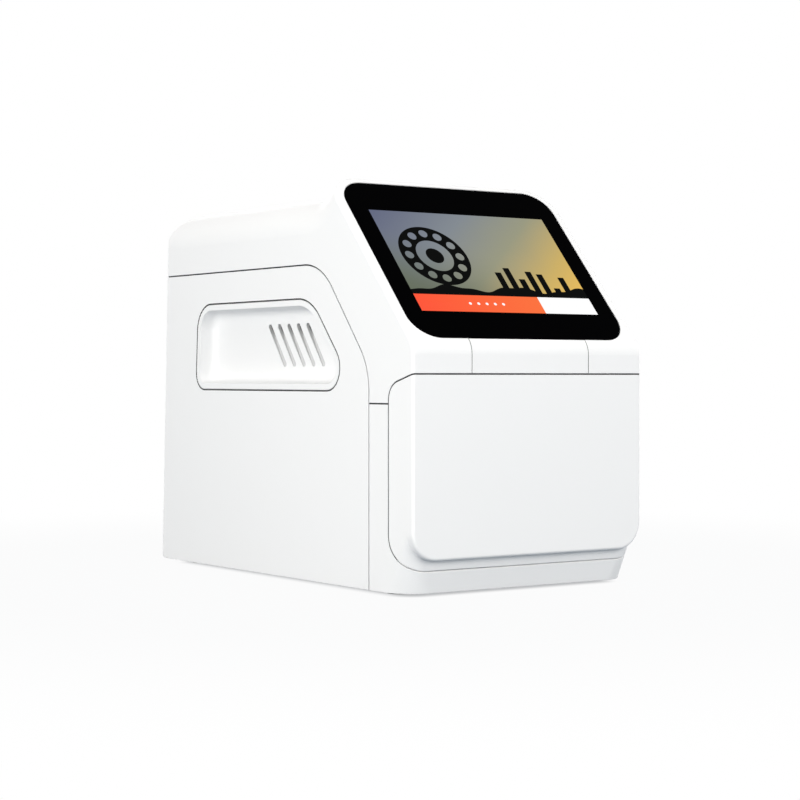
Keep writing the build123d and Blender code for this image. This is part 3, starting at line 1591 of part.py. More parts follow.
with BuildPart() as rear_screws:
    for place in return_screws:
        screw(at_rear(0), place, wall + tongue)
        screw(at_rear(0), (-place[0], place[1]), wall + tongue)
    for place in cover_screws:
        screw(at_rear(0), place, wall + tongue)
keep(rear_screws.part, "rear_screws")

with BuildPart() as fan_screws_set:
    for across in (-1, 1):
        for up in (-1, 1):
            place = (fan_x + across * fan_screws / 2, fan_height + up * fan_screws / 2)
            screw(at_rear(-guard_thick), place, guard_thick + wall + fan_thick)
keep(fan_screws_set.part, "fan_screws")

with BuildPart() as base_screws:
    for place in base_screw_places:
        below = Plane((0, front_y, foot_stand), x_dir=(1, 0, 0), z_dir=(0, 0, -1))
        screw(below, (place[0], -place[1]), base_thick + sheet)
keep(base_screws.part, "base_screws")

with BuildPart() as front_screws:
    for place in front_screw_places:
        inside_view = Plane(
            (0, front_y + cap_back + sheet, foot_stand), x_dir=(-1, 0, 0), z_dir=(0, 1, 0)
        )
        screw(inside_view, place, sheet + wall)
keep(front_screws.part, "front_screws")

slide_screw_grip = 5.0
with BuildPart() as slide_screws:
    for side in (-1, 1):
        inside_view = Plane(
            (side * (chassis_half_width - sheet), front_y, foot_stand),
            x_dir=(0, side, 0) if side < 0 else (0, -side, 0),
            z_dir=(-side, 0, 0),
        )
        for back, up in bar_screws:
            local = inside_view.to_local_coords(
                Vector(side * (chassis_half_width - sheet), front_y + back, foot_stand + up)
            )
            screw(inside_view, (local.X, local.Y), sheet + slide_screw_grip)
keep(slide_screws.part, "slide_screws")

with BuildPart() as board_screws:
    middle_depth = (main_start + main_end) / 2
    for x in (-1, 1):
        for end in (-1, 1):
            place = (
                x * (main_half_width - board_screw_inset),
                middle_depth + end * ((main_end - main_start) / 2 - board_screw_inset),
            )
            disc(at_height(board_top), place, screw_head, head_thick)
keep(board_screws.part, "board_screws")
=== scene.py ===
import json
import math

import bmesh
import bpy
import numpy as np
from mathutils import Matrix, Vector


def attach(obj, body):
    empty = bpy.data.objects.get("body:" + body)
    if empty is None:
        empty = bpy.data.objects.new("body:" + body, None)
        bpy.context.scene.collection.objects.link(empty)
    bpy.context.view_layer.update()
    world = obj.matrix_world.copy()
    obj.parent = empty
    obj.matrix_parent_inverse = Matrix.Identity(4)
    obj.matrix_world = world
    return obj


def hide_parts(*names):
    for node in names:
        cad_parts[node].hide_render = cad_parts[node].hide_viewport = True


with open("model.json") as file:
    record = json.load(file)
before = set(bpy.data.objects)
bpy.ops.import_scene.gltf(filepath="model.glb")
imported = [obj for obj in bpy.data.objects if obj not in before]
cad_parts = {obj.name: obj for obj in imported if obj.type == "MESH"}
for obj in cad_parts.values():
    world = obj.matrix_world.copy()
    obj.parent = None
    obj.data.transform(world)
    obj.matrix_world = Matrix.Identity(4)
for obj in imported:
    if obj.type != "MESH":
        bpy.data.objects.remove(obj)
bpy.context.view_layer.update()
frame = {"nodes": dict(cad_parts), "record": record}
nodes = frame["nodes"]
print("frame loaded:", len(nodes), "nodes")

# Main measures of the case, in millimetres and radians, or in metres where noted.
# Depths run back from the front face, heights up from the case bottom.
case = {
    "frontY": -0.1705,  # metres
    "rearY": 0.1705,  # metres, at the case bottom
    "footStand": 0.0025,  # metres
    "slopeStart": 0.1617,  # metres
    "slope": math.radians(48.3),
    "rearLean": math.radians(2.35),
    "depth": 341.0,
    "halfWidth": 97.0,
    "noseCurve": 15.0,
    "coverSeam": 218.5,
    "rearSplit": 84.0,
    "drawerTop": 142.9,
}


def linear(red, green, blue):  # 0 to 255 display values to linear light, by the sRGB formula
    values = []
    for value in (red / 255, green / 255, blue / 255):
        values.append(value / 12.92 if value <= 0.04045 else ((value + 0.055) / 1.055) ** 2.4)
    return (*values, 1.0)


class Wire:  # one output socket; arithmetic on it adds Math nodes
    def __init__(self, finish, socket):
        self.finish = finish
        self.socket = socket

    def math(self, operation, *values):
        return self.finish.node("ShaderNodeMath", {"operation": operation}, [self, *values])

    def __add__(self, other):
        return self.math("ADD", other)

    __radd__ = __add__

    def __sub__(self, other):
        return self.math("SUBTRACT", other)

    def __rsub__(self, other):
        return self.finish.node("ShaderNodeMath", {"operation": "SUBTRACT"}, [other, self])

    def __mul__(self, other):
        return self.math("MULTIPLY", other)

    __rmul__ = __mul__

    def __truediv__(self, other):
        return self.math("DIVIDE", other)

    def __gt__(self, other):
        return self.math("GREATER_THAN", other)

    def __lt__(self, other):
        return self.math("LESS_THAN", other)

    def size(self):
        return self.math("ABSOLUTE")

    def wave(self):
        return self.math("SINE")

    def higher(self, other):
        return self.math("MAXIMUM", other)

    def reach(self, other):  # length of the vector (self, other)
        return (self * self + other * other).math("SQRT")

    def soft(self, low, high):  # 0 below low, 1 above high, eased between
        settings = {"interpolation_type": "SMOOTHSTEP"}
        inputs = {"Value": self, "From Min": low, "From Max": high}
        return self.finish.node("ShaderNodeMapRange", settings, inputs)


class Finish:  # a material while it is being wired
    def __init__(self, name, color, roughness, metallic=0.0, **constants):
        self.material = bpy.data.materials.new(name)
        self.material.use_nodes = True
        self.tree = self.material.node_tree
        self.tree.nodes.clear()
        self.shader = self.tree.nodes.new("ShaderNodeBsdfPrincipled")
        self.end = self.tree.nodes.new("ShaderNodeOutputMaterial")
        self.tree.links.new(self.shader.outputs["BSDF"], self.end.inputs["Surface"])
        self.put("Base Color", (*color[:3], 1.0))
        self.put("Roughness", roughness)
        self.put("Metallic", metallic)
        for socket, value in constants.items():
            self.put(socket.replace("_", " "), value)

    def put(self, name, value, node=None):
        target = (node or self.shader).inputs[name]
        if isinstance(value, Wire):
            self.tree.links.new(value.socket, target)
        else:
            target.default_value = value

    def node(self, kind, settings=None, inputs=None, output=0):
        made = self.tree.nodes.new(kind)
        for name, value in (settings or {}).items():
            setattr(made, name, value)
        pairs = enumerate(inputs) if isinstance(inputs, (list, tuple)) else (inputs or {}).items()
        for name, value in pairs:
            self.put(name, value, made)
        return Wire(self, made.outputs[output])

    def place(self):
        return self.node("ShaderNodeTexCoord", output="Object")

    def axes(self):
        spot = self.place()
        return [self.node("ShaderNodeSeparateXYZ", {}, [spot], output=axis) for axis in "XYZ"]

    def noise(self, scale, detail=2.0, roughness=0.5, vector=None):
        vector = vector or self.place()
        inputs = {"Vector": vector, "Scale": scale, "Detail": detail, "Roughness": roughness}
        return self.node("ShaderNodeTexNoise", {}, inputs)

    def mix(self, factor, first, second):  # inputs 6 and 7 and output 2 are the color sockets
        inputs = {"Factor": factor, 6: first, 7: second}
        return self.node("ShaderNodeMix", {"data_type": "RGBA"}, inputs, output=2)

    def ramp(self, stops, factor):
        made = self.node("ShaderNodeValToRGB", {}, {"Fac": factor})
        elements = made.socket.node.color_ramp.elements
        while len(elements) < len(stops):
            elements.new(0.5)
        for element, (place, color) in zip(elements, stops):
            element.position = place
            element.color = color
        return made

    def rough(self, middle, *noises):  # roughness around a middle value, from (noise, spread) pairs
        for noise, spread in noises:
            middle = middle + spread * (noise - 0.5)
        self.put("Roughness", middle)

    def bump(self, height, distance, strength, normal=None):
        inputs = {"Height": height, "Distance": distance, "Strength": strength}
        if normal is not None:
            inputs["Normal"] = normal
        self.put("Normal", self.node("ShaderNodeBump", {}, inputs))

    def edge(self, radius):  # light on edges as if each had a small radius
        return self.node("ShaderNodeBevel", {"samples": 6}, {"Radius": radius})


# Moulded case plastic: satin, with a very fine grain
shellLook = {
    "color": (0.885, 0.886, 0.888),
    "roughness": 0.46,
    "edge": 0.0006,
    "grain": 1500.0,
    "grainDepth": 0.000012,
    "drift": 9.0,
    "spreads": (0.05, 0.04),  # of the roughness, with the drift and with the grain
    "slotFloor": 85.0,  # grip floor from the middle plane, millimetres
    "slotShadeFades": [(0.05, 0.3, 0.3), (2.3, 3.1, 0.66)],  # start and end depth, share of the shade
    "slotShadeColor": (0.02, 0.021, 0.023, 1.0),
}


def shellPlastic(name="whiteCase", slotted=False):
    look = shellLook
    finish = Finish(name, look["color"], look["roughness"], Specular_IOR_Level=0.4)
    # Painted shade: the slot walls get a darker colour the deeper they lie below the grip's floor
    if slotted:  # the vent slots darken with their depth below the grip's floor
        x = finish.axes()[0]
        deep = look["slotFloor"] - x.size() * 1000.0
        shade = 0.0
        for start, end, share in look["slotShadeFades"]:
            shade = deep.soft(start, end) * share + shade
        finish.put("Base Color", finish.mix(shade, (*look["color"], 1.0), look["slotShadeColor"]))
    grain = finish.noise(look["grain"])
    drift = finish.noise(look["drift"], detail=1.0)
    finish.rough(look["roughness"], *zip((drift, grain), look["spreads"]))
    finish.bump(grain, look["grainDepth"], 0.6, finish.edge(look["edge"]))
    return finish.material


# Touch display: black glass with a lit picture under it, in millimetres on the screen
screenLook = {
    "glass": (0.0006, 0.0006, 0.0008),
    "width": 150.7,
    "height": 94.2,
    "foot": 30.35,  # from the slope's start
    "sky": [
        (0.0, linear(100, 106, 130)),
        (0.34, linear(132, 139, 146)),
        (0.58, linear(154, 154, 130)),
        (0.8, linear(204, 176, 104)),
        (1.0, linear(236, 190, 92)),
    ],
    "skyShares": (0.62, 0.46, 0.1),  # across, down and by noise
    "skyNoise": 14.0,
    "field": linear(104, 112, 96),
    "fieldFade": (0.15, 0.8),
    "ink": linear(12, 13, 12),
    "hill": 6.5,
    "hillWaves": [(1 / 9.0, 0.0, 2.4), (1 / 3.7, 1.2, 0.9)],  # pace, start, height
    "ring": (-40.0, 52.0, 21.0),  # across, up, radius
    "ringHalf": 6.6,
    "cells": 12,
    "cellRadius": 3.4,
    "hubRadius": 7.0,
    "columns": (2.0, 9.0, 7),  # first edge, pitch, count
    "columnHalf": 0.3,  # share of the pitch
    "columnHeight": 20.0,
    "columnWaves": [(2.1, 0.4, 7.0), (0.9, 0.0, 4.0)],  # pace, start, height
    "strip": 15.4,
    "split": 29.0,  # end of the strip's filled part
    "orange": [(0.0, linear(255, 88, 60)), (1.0, linear(251, 126, 66))],
    "paper": linear(255, 255, 255),
    "dots": (-18.0, 7.0, 17.0),  # middle, pitch, half of the row
    "dotRadius": 1.1832,
}


def addWaves(base, along, rows):  # base + height * sin(along * pace + start) for each row
    for pace, start, height in rows:
        base = (along * pace + start).wave() * height + base
    return base


def displayGlass():
    look = screenLook
    finish = Finish("blackGlass", look["glass"], 0.05, Specular_IOR_Level=0.02, IOR=1.12)
    x, y, z = finish.axes()
    across = x * 1000.0
    depth = (y - case["frontY"]) * (1000.0 * math.cos(case["slope"]))
    rise = (z - case["footStand"] - case["slopeStart"]) * (1000.0 * math.sin(case["slope"]))
    up = depth + rise - look["foot"]
    inside = (across.size() < look["width"] / 2) * (up > 0.0) * (up < look["height"])
    # Dusk colours run from the upper left to the lower right
    drift = 0.5 + across / look["width"]
    fall = 1.0 - up / look["height"]
    acrossShare, downShare, noiseShare = look["skyShares"]
    cloud = finish.noise(look["skyNoise"]) - 0.5
    picture = finish.ramp(look["sky"], drift * acrossShare + fall * downShare + cloud * noiseShare)
    # Darker green towards the lower left
    picture = finish.mix(((1.0 - drift) * fall).soft(*look["fieldFade"]), picture, look["field"])
    # A trend area above the strip
    above = up - look["strip"]
    hill = addWaves(look["hill"], across, look["hillWaves"])
    picture = finish.mix(above < hill, picture, look["ink"])
    # A carousel of round cells on the left
    ringAcross, ringUp, ringRadius = look["ring"]
    left, middle = across - ringAcross, up - ringUp
    radius = left.reach(middle)
    fromRing = radius - ringRadius
    perRadian = look["cells"] / (2 * math.pi)
    turn = middle.math("ARCTAN2", left) * perRadian
    fromCell = (turn - turn.math("ROUND")).size() * (ringRadius / perRadian)
    cell = fromCell.reach(fromRing) < look["cellRadius"]
    ring = (fromRing.size() < look["ringHalf"]) * (1.0 - cell)
    picture = finish.mix(ring.higher(radius < look["hubRadius"]), picture, look["ink"])
    # Columns of different height on the right
    firstEdge, pitch, count = look["columns"]
    along = (across - firstEdge) / pitch
    index = along.math("FLOOR")
    column = ((along - index - 0.5).size() < look["columnHalf"]) * (index > -0.5) * (index < count - 0.5)
    tall = addWaves(look["columnHeight"], index, look["columnWaves"])
    picture = finish.mix(column * (above < tall), picture, look["ink"])
    # Strip with a filled part and a row of round steps
    filled = finish.mix(across > look["split"], finish.ramp(look["orange"], drift), look["paper"])
    rowMiddle, pitch, rowHalf = look["dots"]
    fromMiddle = across - rowMiddle
    step = fromMiddle / pitch
    fromDot = (step - step.math("ROUND")) * pitch
    dots = (fromDot.reach(up - look["strip"] / 2) < look["dotRadius"]) * (fromMiddle.size() < rowHalf)
    filled = finish.mix(dots, filled, look["paper"])
    picture = finish.mix(up < look["strip"], picture, filled)
    finish.put("Emission Color", finish.mix(inside, (0.0, 0.0, 0.0, 1.0), picture))
    finish.put("Emission Strength", 1.0)
    return finish.material


# Metal with a brushed finish: the streak gives the noise's scale along each axis
metalLook = {
    "cloud": 22.0,
    "darker": 0.82,
    "shares": (0.5, 0.3),  # of the darker tone, with the clouds and with the brush
    "spreads": (0.12, 0.08),  # of the roughness, with the brush and with the clouds
    "brushDepth": 0.00002,
    "edge": 0.0003,
}


def sheetMetal(name, color, roughness, streak=(40.0, 900.0, 40.0)):
    look = metalLook
    finish = Finish(name, color, roughness, metallic=1.0)
    stretched = finish.node("ShaderNodeMapping", {}, {"Vector": finish.place(), "Scale": streak})
    brush = finish.noise(1.0, detail=3.0, roughness=0.6, vector=stretched)
    cloud = finish.noise(look["cloud"])
    cloudShare, brushShare = look["shares"]
    dark = [look["darker"] * value for value in color]
    tone = finish.mix(cloud * cloudShare + brush * brushShare, (*color, 1.0), (*dark, 1.0))
    finish.put("Base Color", tone)
    finish.rough(roughness, *zip((brush, cloud), look["spreads"]))
    finish.bump(brush, look["brushDepth"], 0.4, finish.edge(look["edge"]))
    return finish.material


# Moulded plastic of the smaller pieces
plasticLook = {
    "grain": 1100.0,
    "grainDepth": 0.00003,
    "drift": 30.0,
    "driftShare": 0.6,
    "spread": 0.1,
    "lighter": (1.25, 0.004),  # factor and lift of the lighter tone
    "edge": 0.0004,
}


def plasticGrain(finish):
    look = plasticLook
    finish.bump(finish.noise(look["grain"]), look["grainDepth"], 0.7, finish.edge(look["edge"]))


def mouldedPlastic(name, color, roughness):
    look = plasticLook
    finish = Finish(name, color, roughness)
    drift = finish.noise(look["drift"])
    factor, lift = look["lighter"]
    light = [min(1.0, factor * value + lift) for value in color]
    finish.put("Base Color", finish.mix(drift * look["driftShare"], (*color, 1.0), (*light, 1.0)))
    finish.rough(roughness, (drift, look["spread"]))
    plasticGrain(finish)
    return finish.material


# Circuit boards: bent copper tracks in patches under green lacquer, with round pads
boardLook = {
    "green": (0.02, 0.12, 0.05),
    "lacquer": (0.012, 0.085, 0.034, 1.0),
    "track": (0.03, 0.17, 0.07, 1.0),
    "pad": (0.55, 0.5, 0.36, 1.0),
    "roughness": 0.42,
    "padGloss": 0.12,
    "trackPace": 700.0,
    "trackLimit": 0.82,
    "bendPace": 90.0,
    "bend": 2.0,
    "patches": (60.0, 0.46),  # scale and limit
    "pads": (260.0, 0.17),  # scale and limit
    "trackHeight": 0.00003,
}


def boardLacquer():
    look = boardLook
    finish = Finish("circuitBoard", look["green"], look["roughness"])
    x, y = finish.axes()[:2]
    bent = x * look["trackPace"] + (y * look["bendPace"]).wave() * look["bend"]
    scale, limit = look["patches"]
    tracks = (bent.wave() > look["trackLimit"]) * (finish.noise(scale, detail=1.0) > limit)
    scale, limit = look["pads"]
    dots = finish.node("ShaderNodeTexVoronoi", {}, {"Vector": finish.place(), "Scale": scale})
    pads = dots < limit
    green = finish.mix(tracks, look["lacquer"], look["track"])
    finish.put("Base Color", finish.mix(pads, green, look["pad"]))
    finish.put("Roughness", look["roughness"] - look["padGloss"] * pads)
    finish.bump(tracks, look["trackHeight"], 0.5)
    return finish.material


# Rubber of the feet and rollers, and the finish of the dark strips between the mouldings, which are
# painted seam shade
rubberLook = {
    "darkRubber": {
        "color": (0.02, 0.02, 0.021),
        "roughness": 0.72,
        "spread": 0.12,
        "grain": (900.0, 3.0),  # scale and detail
        "bump": (0.00005, 0.8),  # depth and strength
        "edge": 0.0004,
    },
    "seamShadeStrip": {
        "color": (0.018, 0.018, 0.02),
        "roughness": 0.8,
        "spread": 0.1,
        "grain": (1400.0, 2.0),
        "bump": (0.00002, 0.6),
        "edge": None,
    },
}


def softRubber(name):
    look = rubberLook[name]
    finish = Finish(name, look["color"], look["roughness"])
    grain = finish.noise(*look["grain"])
    finish.rough(look["roughness"], (grain, look["spread"]))
    finish.bump(grain, *look["bump"], finish.edge(look["edge"]) if look["edge"] else None)
    return finish.material


# Sockets and fan on the rear panel, in millimetres on the panel: across, up, outwards
rearLook = {
    "inlet": (-62.0, 30.0),
    "inletColor": (0.018, 0.018, 0.019),
    "inletRoughness": (0.5, 0.25),  # of the moulding, and how much smoother the pins are
    "pins": [(-7.0, -2.0), (7.0, -2.0), (0.0, 2.0)],
    "pinHalf": (1.15, 2.15),
    "pinFoot": -16.9,
    "pinColor": (0.66, 0.64, 0.6, 1.0),
    "jacks": [(18.0, 70.0, 16.2, 13.6), (36.0, 70.0, 13.4, 7.2), (54.0, 70.0, 13.4, 7.2)],
    "jackWall": 0.95,
    "jackFoot": -15.9,
    "jackLip": -0.5,
    "shell": [(0.6, 0.6, 0.6, 1.0), (0.5, 0.5, 0.5, 1.0)],
    "board": [(0.012, 0.085, 0.034, 1.0), (0.03, 0.15, 0.06, 1.0)],
    "jackInside": (0.014, 0.014, 0.015, 1.0),
    "jackRoughness": (0.34, 0.2),  # of the shells, and how much rougher the insides are
    "cloud": (60.0, 0.55),  # scale and limit
    "fan": (30.0, 150.0),
    "fanScrews": 25.0,
    "guardRings": (25.5, 19.0, 12.5, 6.0),
    "guardWire": 0.55,
    "guardThick": 1.6,
    "guardSteps": 72,
    "guardSmooth": 60.0,
    "barSteps": 9,
    "barGap": 1.6,
    "lugRadius": 2.8,
    "lugHalf": 1.2,
}
rearOut = np.array((0.0, math.cos(case["rearLean"]), math.sin(case["rearLean"])))
rearUp = np.array((0.0, -math.sin(case["rearLean"]), math.cos(case["rearLean"])))


def rearAxes(finish):  # across, up and outwards on the leaning rear panel, in millimetres
    x, y, z = finish.axes()
    lean = case["rearLean"]
    back, high = (y - case["rearY"]) * 1000.0, (z - case["footStand"]) * 1000.0
    up = high * math.cos(lean) - back * math.sin(lean)
    out = back * math.cos(lean) + high * math.sin(lean)
    return x * -1000.0, up, out


def within(across, up, spot, half):
    return ((across - spot[0]).size() < half[0]) * ((up - spot[1]).size() < half[1])


def inletFinish():  # black moulding with nickel contact pins
    look = rearLook
    roughness, smoother = look["inletRoughness"]
    finish = Finish("mainsInlet", look["inletColor"], roughness)
    across, up, out = rearAxes(finish)
    pin = 0.0
    for x, y in look["pins"]:
        spot = (look["inlet"][0] + x, look["inlet"][1] + y)
        pin = within(across, up, spot, look["pinHalf"]) + pin
    pin = pin * (out > look["pinFoot"])
    finish.put("Base Color", finish.mix(pin, (*look["inletColor"], 1.0), look["pinColor"]))
    finish.put("Metallic", pin)
    finish.put("Roughness", roughness - smoother * pin)
    plasticGrain(finish)
    return finish.material


def socketFinish():  # nickel shells with black insides on a green board
    look = rearLook
    roughness, rougher = look["jackRoughness"]
    finish = Finish("dataSockets", boardLook["green"], roughness)
    across, up, out = rearAxes(finish)
    inside = 0.0
    for x, y, width, height in look["jacks"]:
        half = (width / 2 - look["jackWall"], height / 2 - look["jackWall"])
        inside = within(across, up, (x, y), half) + inside
    inside = inside * (out < look["jackLip"])
    shell = out > look["jackFoot"]
    scale, limit = look["cloud"]
    cloud = finish.noise(scale)
    board = finish.mix(cloud > limit, *look["board"])
    tone = finish.mix(shell, board, finish.mix(cloud, *look["shell"]))
    finish.put("Base Color", finish.mix(inside, tone, look["jackInside"]))
    finish.put("Metallic", shell * (1.0 - inside))
    finish.put("Roughness", roughness + rougher * inside)
    finish.bump(cloud, metalLook["brushDepth"], 0.4, finish.edge(metalLook["edge"]))
    return finish.material


looks = {
    "white_case": shellPlastic(),
    "black_glass": displayGlass(),
    "display": mouldedPlastic("displayModule", (0.05, 0.055, 0.06), 0.3),
    "sheet_steel": sheetMetal("sheetSteel", (0.56, 0.57, 0.58), 0.38),
    "screw_steel": sheetMetal("screwSteel", (0.62, 0.62, 0.63), 0.28, (300.0, 300.0, 300.0)),
    "machined_aluminium": sheetMetal("machinedAluminium", (0.72, 0.73, 0.74), 0.32, (60.0, 60.0, 700.0)),
    "motor_metal": sheetMetal("motorMetal", (0.06, 0.06, 0.065), 0.42),
    "black_plastic": mouldedPlastic("blackPlastic", (0.018, 0.018, 0.019), 0.5),
    "grey_plastic": mouldedPlastic("greyPlastic", (0.13, 0.135, 0.145), 0.48),
    "gear_plastic": mouldedPlastic("gearPlastic", (0.78, 0.76, 0.7), 0.42),
    "circuit_board": boardLacquer(),
    "dark_rubber": softRubber("darkRubber"),
}
slotOf = {row["node"]: row["material_slot"] for row in frame["record"]["subparts"]}
for name, node in nodes.items():
    node.data.materials.clear()
    node.data.materials.append(looks[slotOf[name]])
gripCase = shellPlastic("gripCase", True)
for name in ("left_grip_insert", "right_grip_insert"):
    nodes[name].data.materials[0] = gripCase
nodes["power_inlet"].data.materials[0] = inletFinish()
nodes["port_board"].data.materials[0] = socketFinish()
print("finishes:", len(looks))


def spots(across, depth, height):  # case millimetres to frame metres, as one array of points
    across, depth, height = np.broadcast_arrays(across, depth, height)
    lift = case["footStand"] * 1000
    return np.stack([across, depth + case["frontY"] * 1000, height + lift], axis=-1) / 1000


def unit(vectors):  # each vector over its length
    return vectors / np.linalg.norm(vectors, axis=-1, keepdims=True)


def gridFaces(rows, columns, closedRows=False, closedColumns=False):
    # Quads between neighbouring rows and columns of a grid of points
    row = np.arange(rows if closedRows else rows - 1)[:, None]
    column = np.arange(columns if closedColumns else columns - 1)[None, :]
    nextRow, nextColumn = (row + 1) % rows, (column + 1) % columns
    corners = [row * columns + column, row * columns + nextColumn]
    corners += [nextRow * columns + nextColumn, nextRow * columns + column]
    return np.stack(np.broadcast_arrays(*corners), axis=-1).reshape(-1, 4)


weldGap = 0.000002  # metres


def makePiece(name, parts, finish, body, smooth=40.0):
    # Joins (points, quads) parts into one mesh, welds its seams and poles, turns faces outwards
    points, quads, count = [], [], 0
    for partPoints, partQuads in parts:
        points.append(partPoints.reshape(-1, 3))
        quads.append(partQuads + count)
        count += len(points[-1])
    points, quads = np.concatenate(points), np.concatenate(quads)
    mesh = bpy.data.meshes.new(name)
    mesh.vertices.add(len(points))
    mesh.vertices.foreach_set("co", points.astype(np.float32).ravel())
    mesh.loops.add(quads.size)
    mesh.loops.foreach_set("vertex_index", quads.astype(np.int32).ravel())
    mesh.polygons.add(len(quads))
    mesh.polygons.foreach_set("loop_start", np.arange(0, quads.size, 4, dtype=np.int32))
    mesh.update(calc_edges=True)
    work = bmesh.new()
    work.from_mesh(mesh)
    bmesh.ops.remove_doubles(work, verts=work.verts, dist=weldGap)
    bmesh.ops.dissolve_degenerate(work, edges=work.edges, dist=weldGap)
    bmesh.ops.recalc_face_normals(work, faces=work.faces)
    work.to_mesh(mesh)
    work.free()
    mesh.validate()
    mesh.shade_smooth()
    mesh.set_sharp_from_angle(angle=math.radians(smooth))
    mesh.materials.append(finish)
    piece = bpy.data.objects.new(name, mesh)
    bpy.context.scene.collection.objects.link(piece)
    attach(piece, body)
    return piece


def carry(profile, path, up, closed=False):
    # A closed profile of (side, up) offsets carried along a path; side is tangent x up
    ahead = np.roll(path, -1, axis=0) - np.roll(path, 1, axis=0)
    if not closed:
        ahead[0], ahead[-1] = path[1] - path[0], path[-1] - path[-2]
    up = np.broadcast_to(up, path.shape)
    side = unit(np.cross(unit(ahead), up))
    points = path[:, None] + profile[None, :, :1] * side[:, None] + profile[None, :, 1:] * up[:, None]
    parts = [(points, gridFaces(len(path), len(profile), closed, True))]
    if not closed:  # end caps close to a point
        for end in (0, -1):
            rim = points[end]
            cap = np.stack([rim, np.broadcast_to(rim.mean(axis=0), rim.shape)])
            parts.append((cap, gridFaces(2, len(profile), False, True)))
    return parts


def rounded(corners, closed=False, steps=10):
    # Points along straight runs joined by tangent arcs, from (x, y, radius) corners
    line = []
    count = len(corners)
    for index, (x, y, radius) in enumerate(corners):
        here = np.array((x, y))
        if radius == 0 or (not closed and index in (0, count - 1)):
            line.append(here[None])
            continue
        before = unit(np.array(corners[index - 1][:2]) - here)
        after = unit(np.array(corners[(index + 1) % count][:2]) - here)
        half = math.acos(np.clip(before @ after, -1, 1)) / 2
        middle = unit(before + after)
        centre = here + middle * radius / math.sin(half)
        turn = np.linspace(-(math.pi / 2 - half), math.pi / 2 - half, steps)[:, None]
        across = unit(before - middle * (before @ middle))
        line.append(centre + radius * (-middle * np.cos(turn) - across * np.sin(turn)))
    return np.concatenate(line)


def strip(low, high, start, end):  # rectangular profile: side from low to high, up from start to end
    return np.array([(low, start), (high, start), (high, end), (low, end)]) / 1000


def oval(wide, tall, count=10):  # oval profile of count points
    turn = np.arange(count) * (2 * math.pi / count)
    return np.column_stack([wide * np.cos(turn), tall * np.sin(turn)]) / 1000


# Dark strips in the gaps between the mouldings, a little below the surface: painted shade of the seams.
# Corner rows are (depth, height, radius).
seamShadeLook = {
    "sunk": 0.7,
    "deep": 2.9,
    "half": 0.5,
    "coverSide": [(50.5, 0.6, 0.0), (50.5, 147.4, 45.0), (109.11, case["coverSeam"], 45.0)],
    "rearRuns": (12.0, 11.0),  # from the rear wall to the side's end and to the corner's start
    "rearCurve": 2.3,
    "wing": (49.9, 28.4),  # depths of its ends
    "wingHeight": 123.4,
    "upright": (3.0, 217.6),  # heights of its ends
    "trim": [(284.8, 131.7, 12.0), (281.3, 195.0, 20.0), (122.23, 195.0, 36.0), (67.2, 131.7, 15.6)],
    "trimWidth": 0.8,
    "trimRun": (-0.5, 0.04),
    "doorSide": 49.65,
    "doorHalf": 0.22,
    "doorRun": (-1.8, -0.12),
    "doorGap": 0.7,  # above the drawer
    "doorEnd": 6.3,  # up the slope
    "drawerSide": [(18.2, 22.6, 0), (27.8, 29.8, 17.0), (27.8, 135.39, 13.0), (14.0, 139.12, 0)],
    "drawerCurve": (2.0, 0.6),  # plan radius at the skin, and the least one
    "drawerFall": 0.27,  # of the top edge, towards the back
    "drawerSides": (-0.35, 0.5),
    "drawerStep": 1.0,  # to a path further in, which gives the outward direction
    "raised": 0.5,
    "smooth": 30.0,
}


def coverSeamShadePath():
    # Along the seam of the left side, across the rear wall and back along the right side
    inset, curve = seamShadeLook["sunk"], seamShadeLook["rearCurve"]
    half, height = case["halfWidth"] - inset, case["coverSeam"]
    back = case["depth"] - height * math.tan(case["rearLean"]) - inset
    sideEnd, start = (back - run for run in seamShadeLook["rearRuns"])
    left = rounded([*seamShadeLook["coverSide"], (sideEnd, height, 0.0)], steps=16)
    plan = rounded([(-half, start, 0), (-half, back, curve), (half, back, curve), (half, start, 0)])
    path = np.concatenate([
        spots(-half, left[:, 0], left[:, 1]),
        spots(plan[:, 0], plan[:, 1], height),
        spots(half, left[::-1, 0], left[::-1, 1]),
    ])
    sides = np.tile((1.0, 0.0, 0.0), (len(left), 1))
    turned = unit(plan - np.clip(plan, (-half + curve, 0), (half - curve, back - curve)))
    rear = np.column_stack([turned, np.zeros(len(plan))])
    return path, np.concatenate([-sides, rear, sides])


def drawerSeamShadePath(inset, steps=14):
    # Round the drawer front: up its right side, across the top of the face, down its left side
    side = rounded(seamShadeLook["drawerSide"])
    half = case["halfWidth"] - inset
    curve, least = seamShadeLook["drawerCurve"]
    radius = max(curve - inset, least)
    turn = np.linspace(0, math.pi / 2, steps)
    across = np.append(half, half - radius + radius * np.cos(turn))
    depth = np.append(side[-1, 0], inset + radius - radius * np.sin(turn))
    top = spots(across, depth, case["drawerTop"] - seamShadeLook["drawerFall"] * depth)
    right = np.concatenate([spots(half, side[:-1, 0], side[:-1, 1]), top])
    return np.concatenate([right, right[::-1] * (-1, 1, 1)])


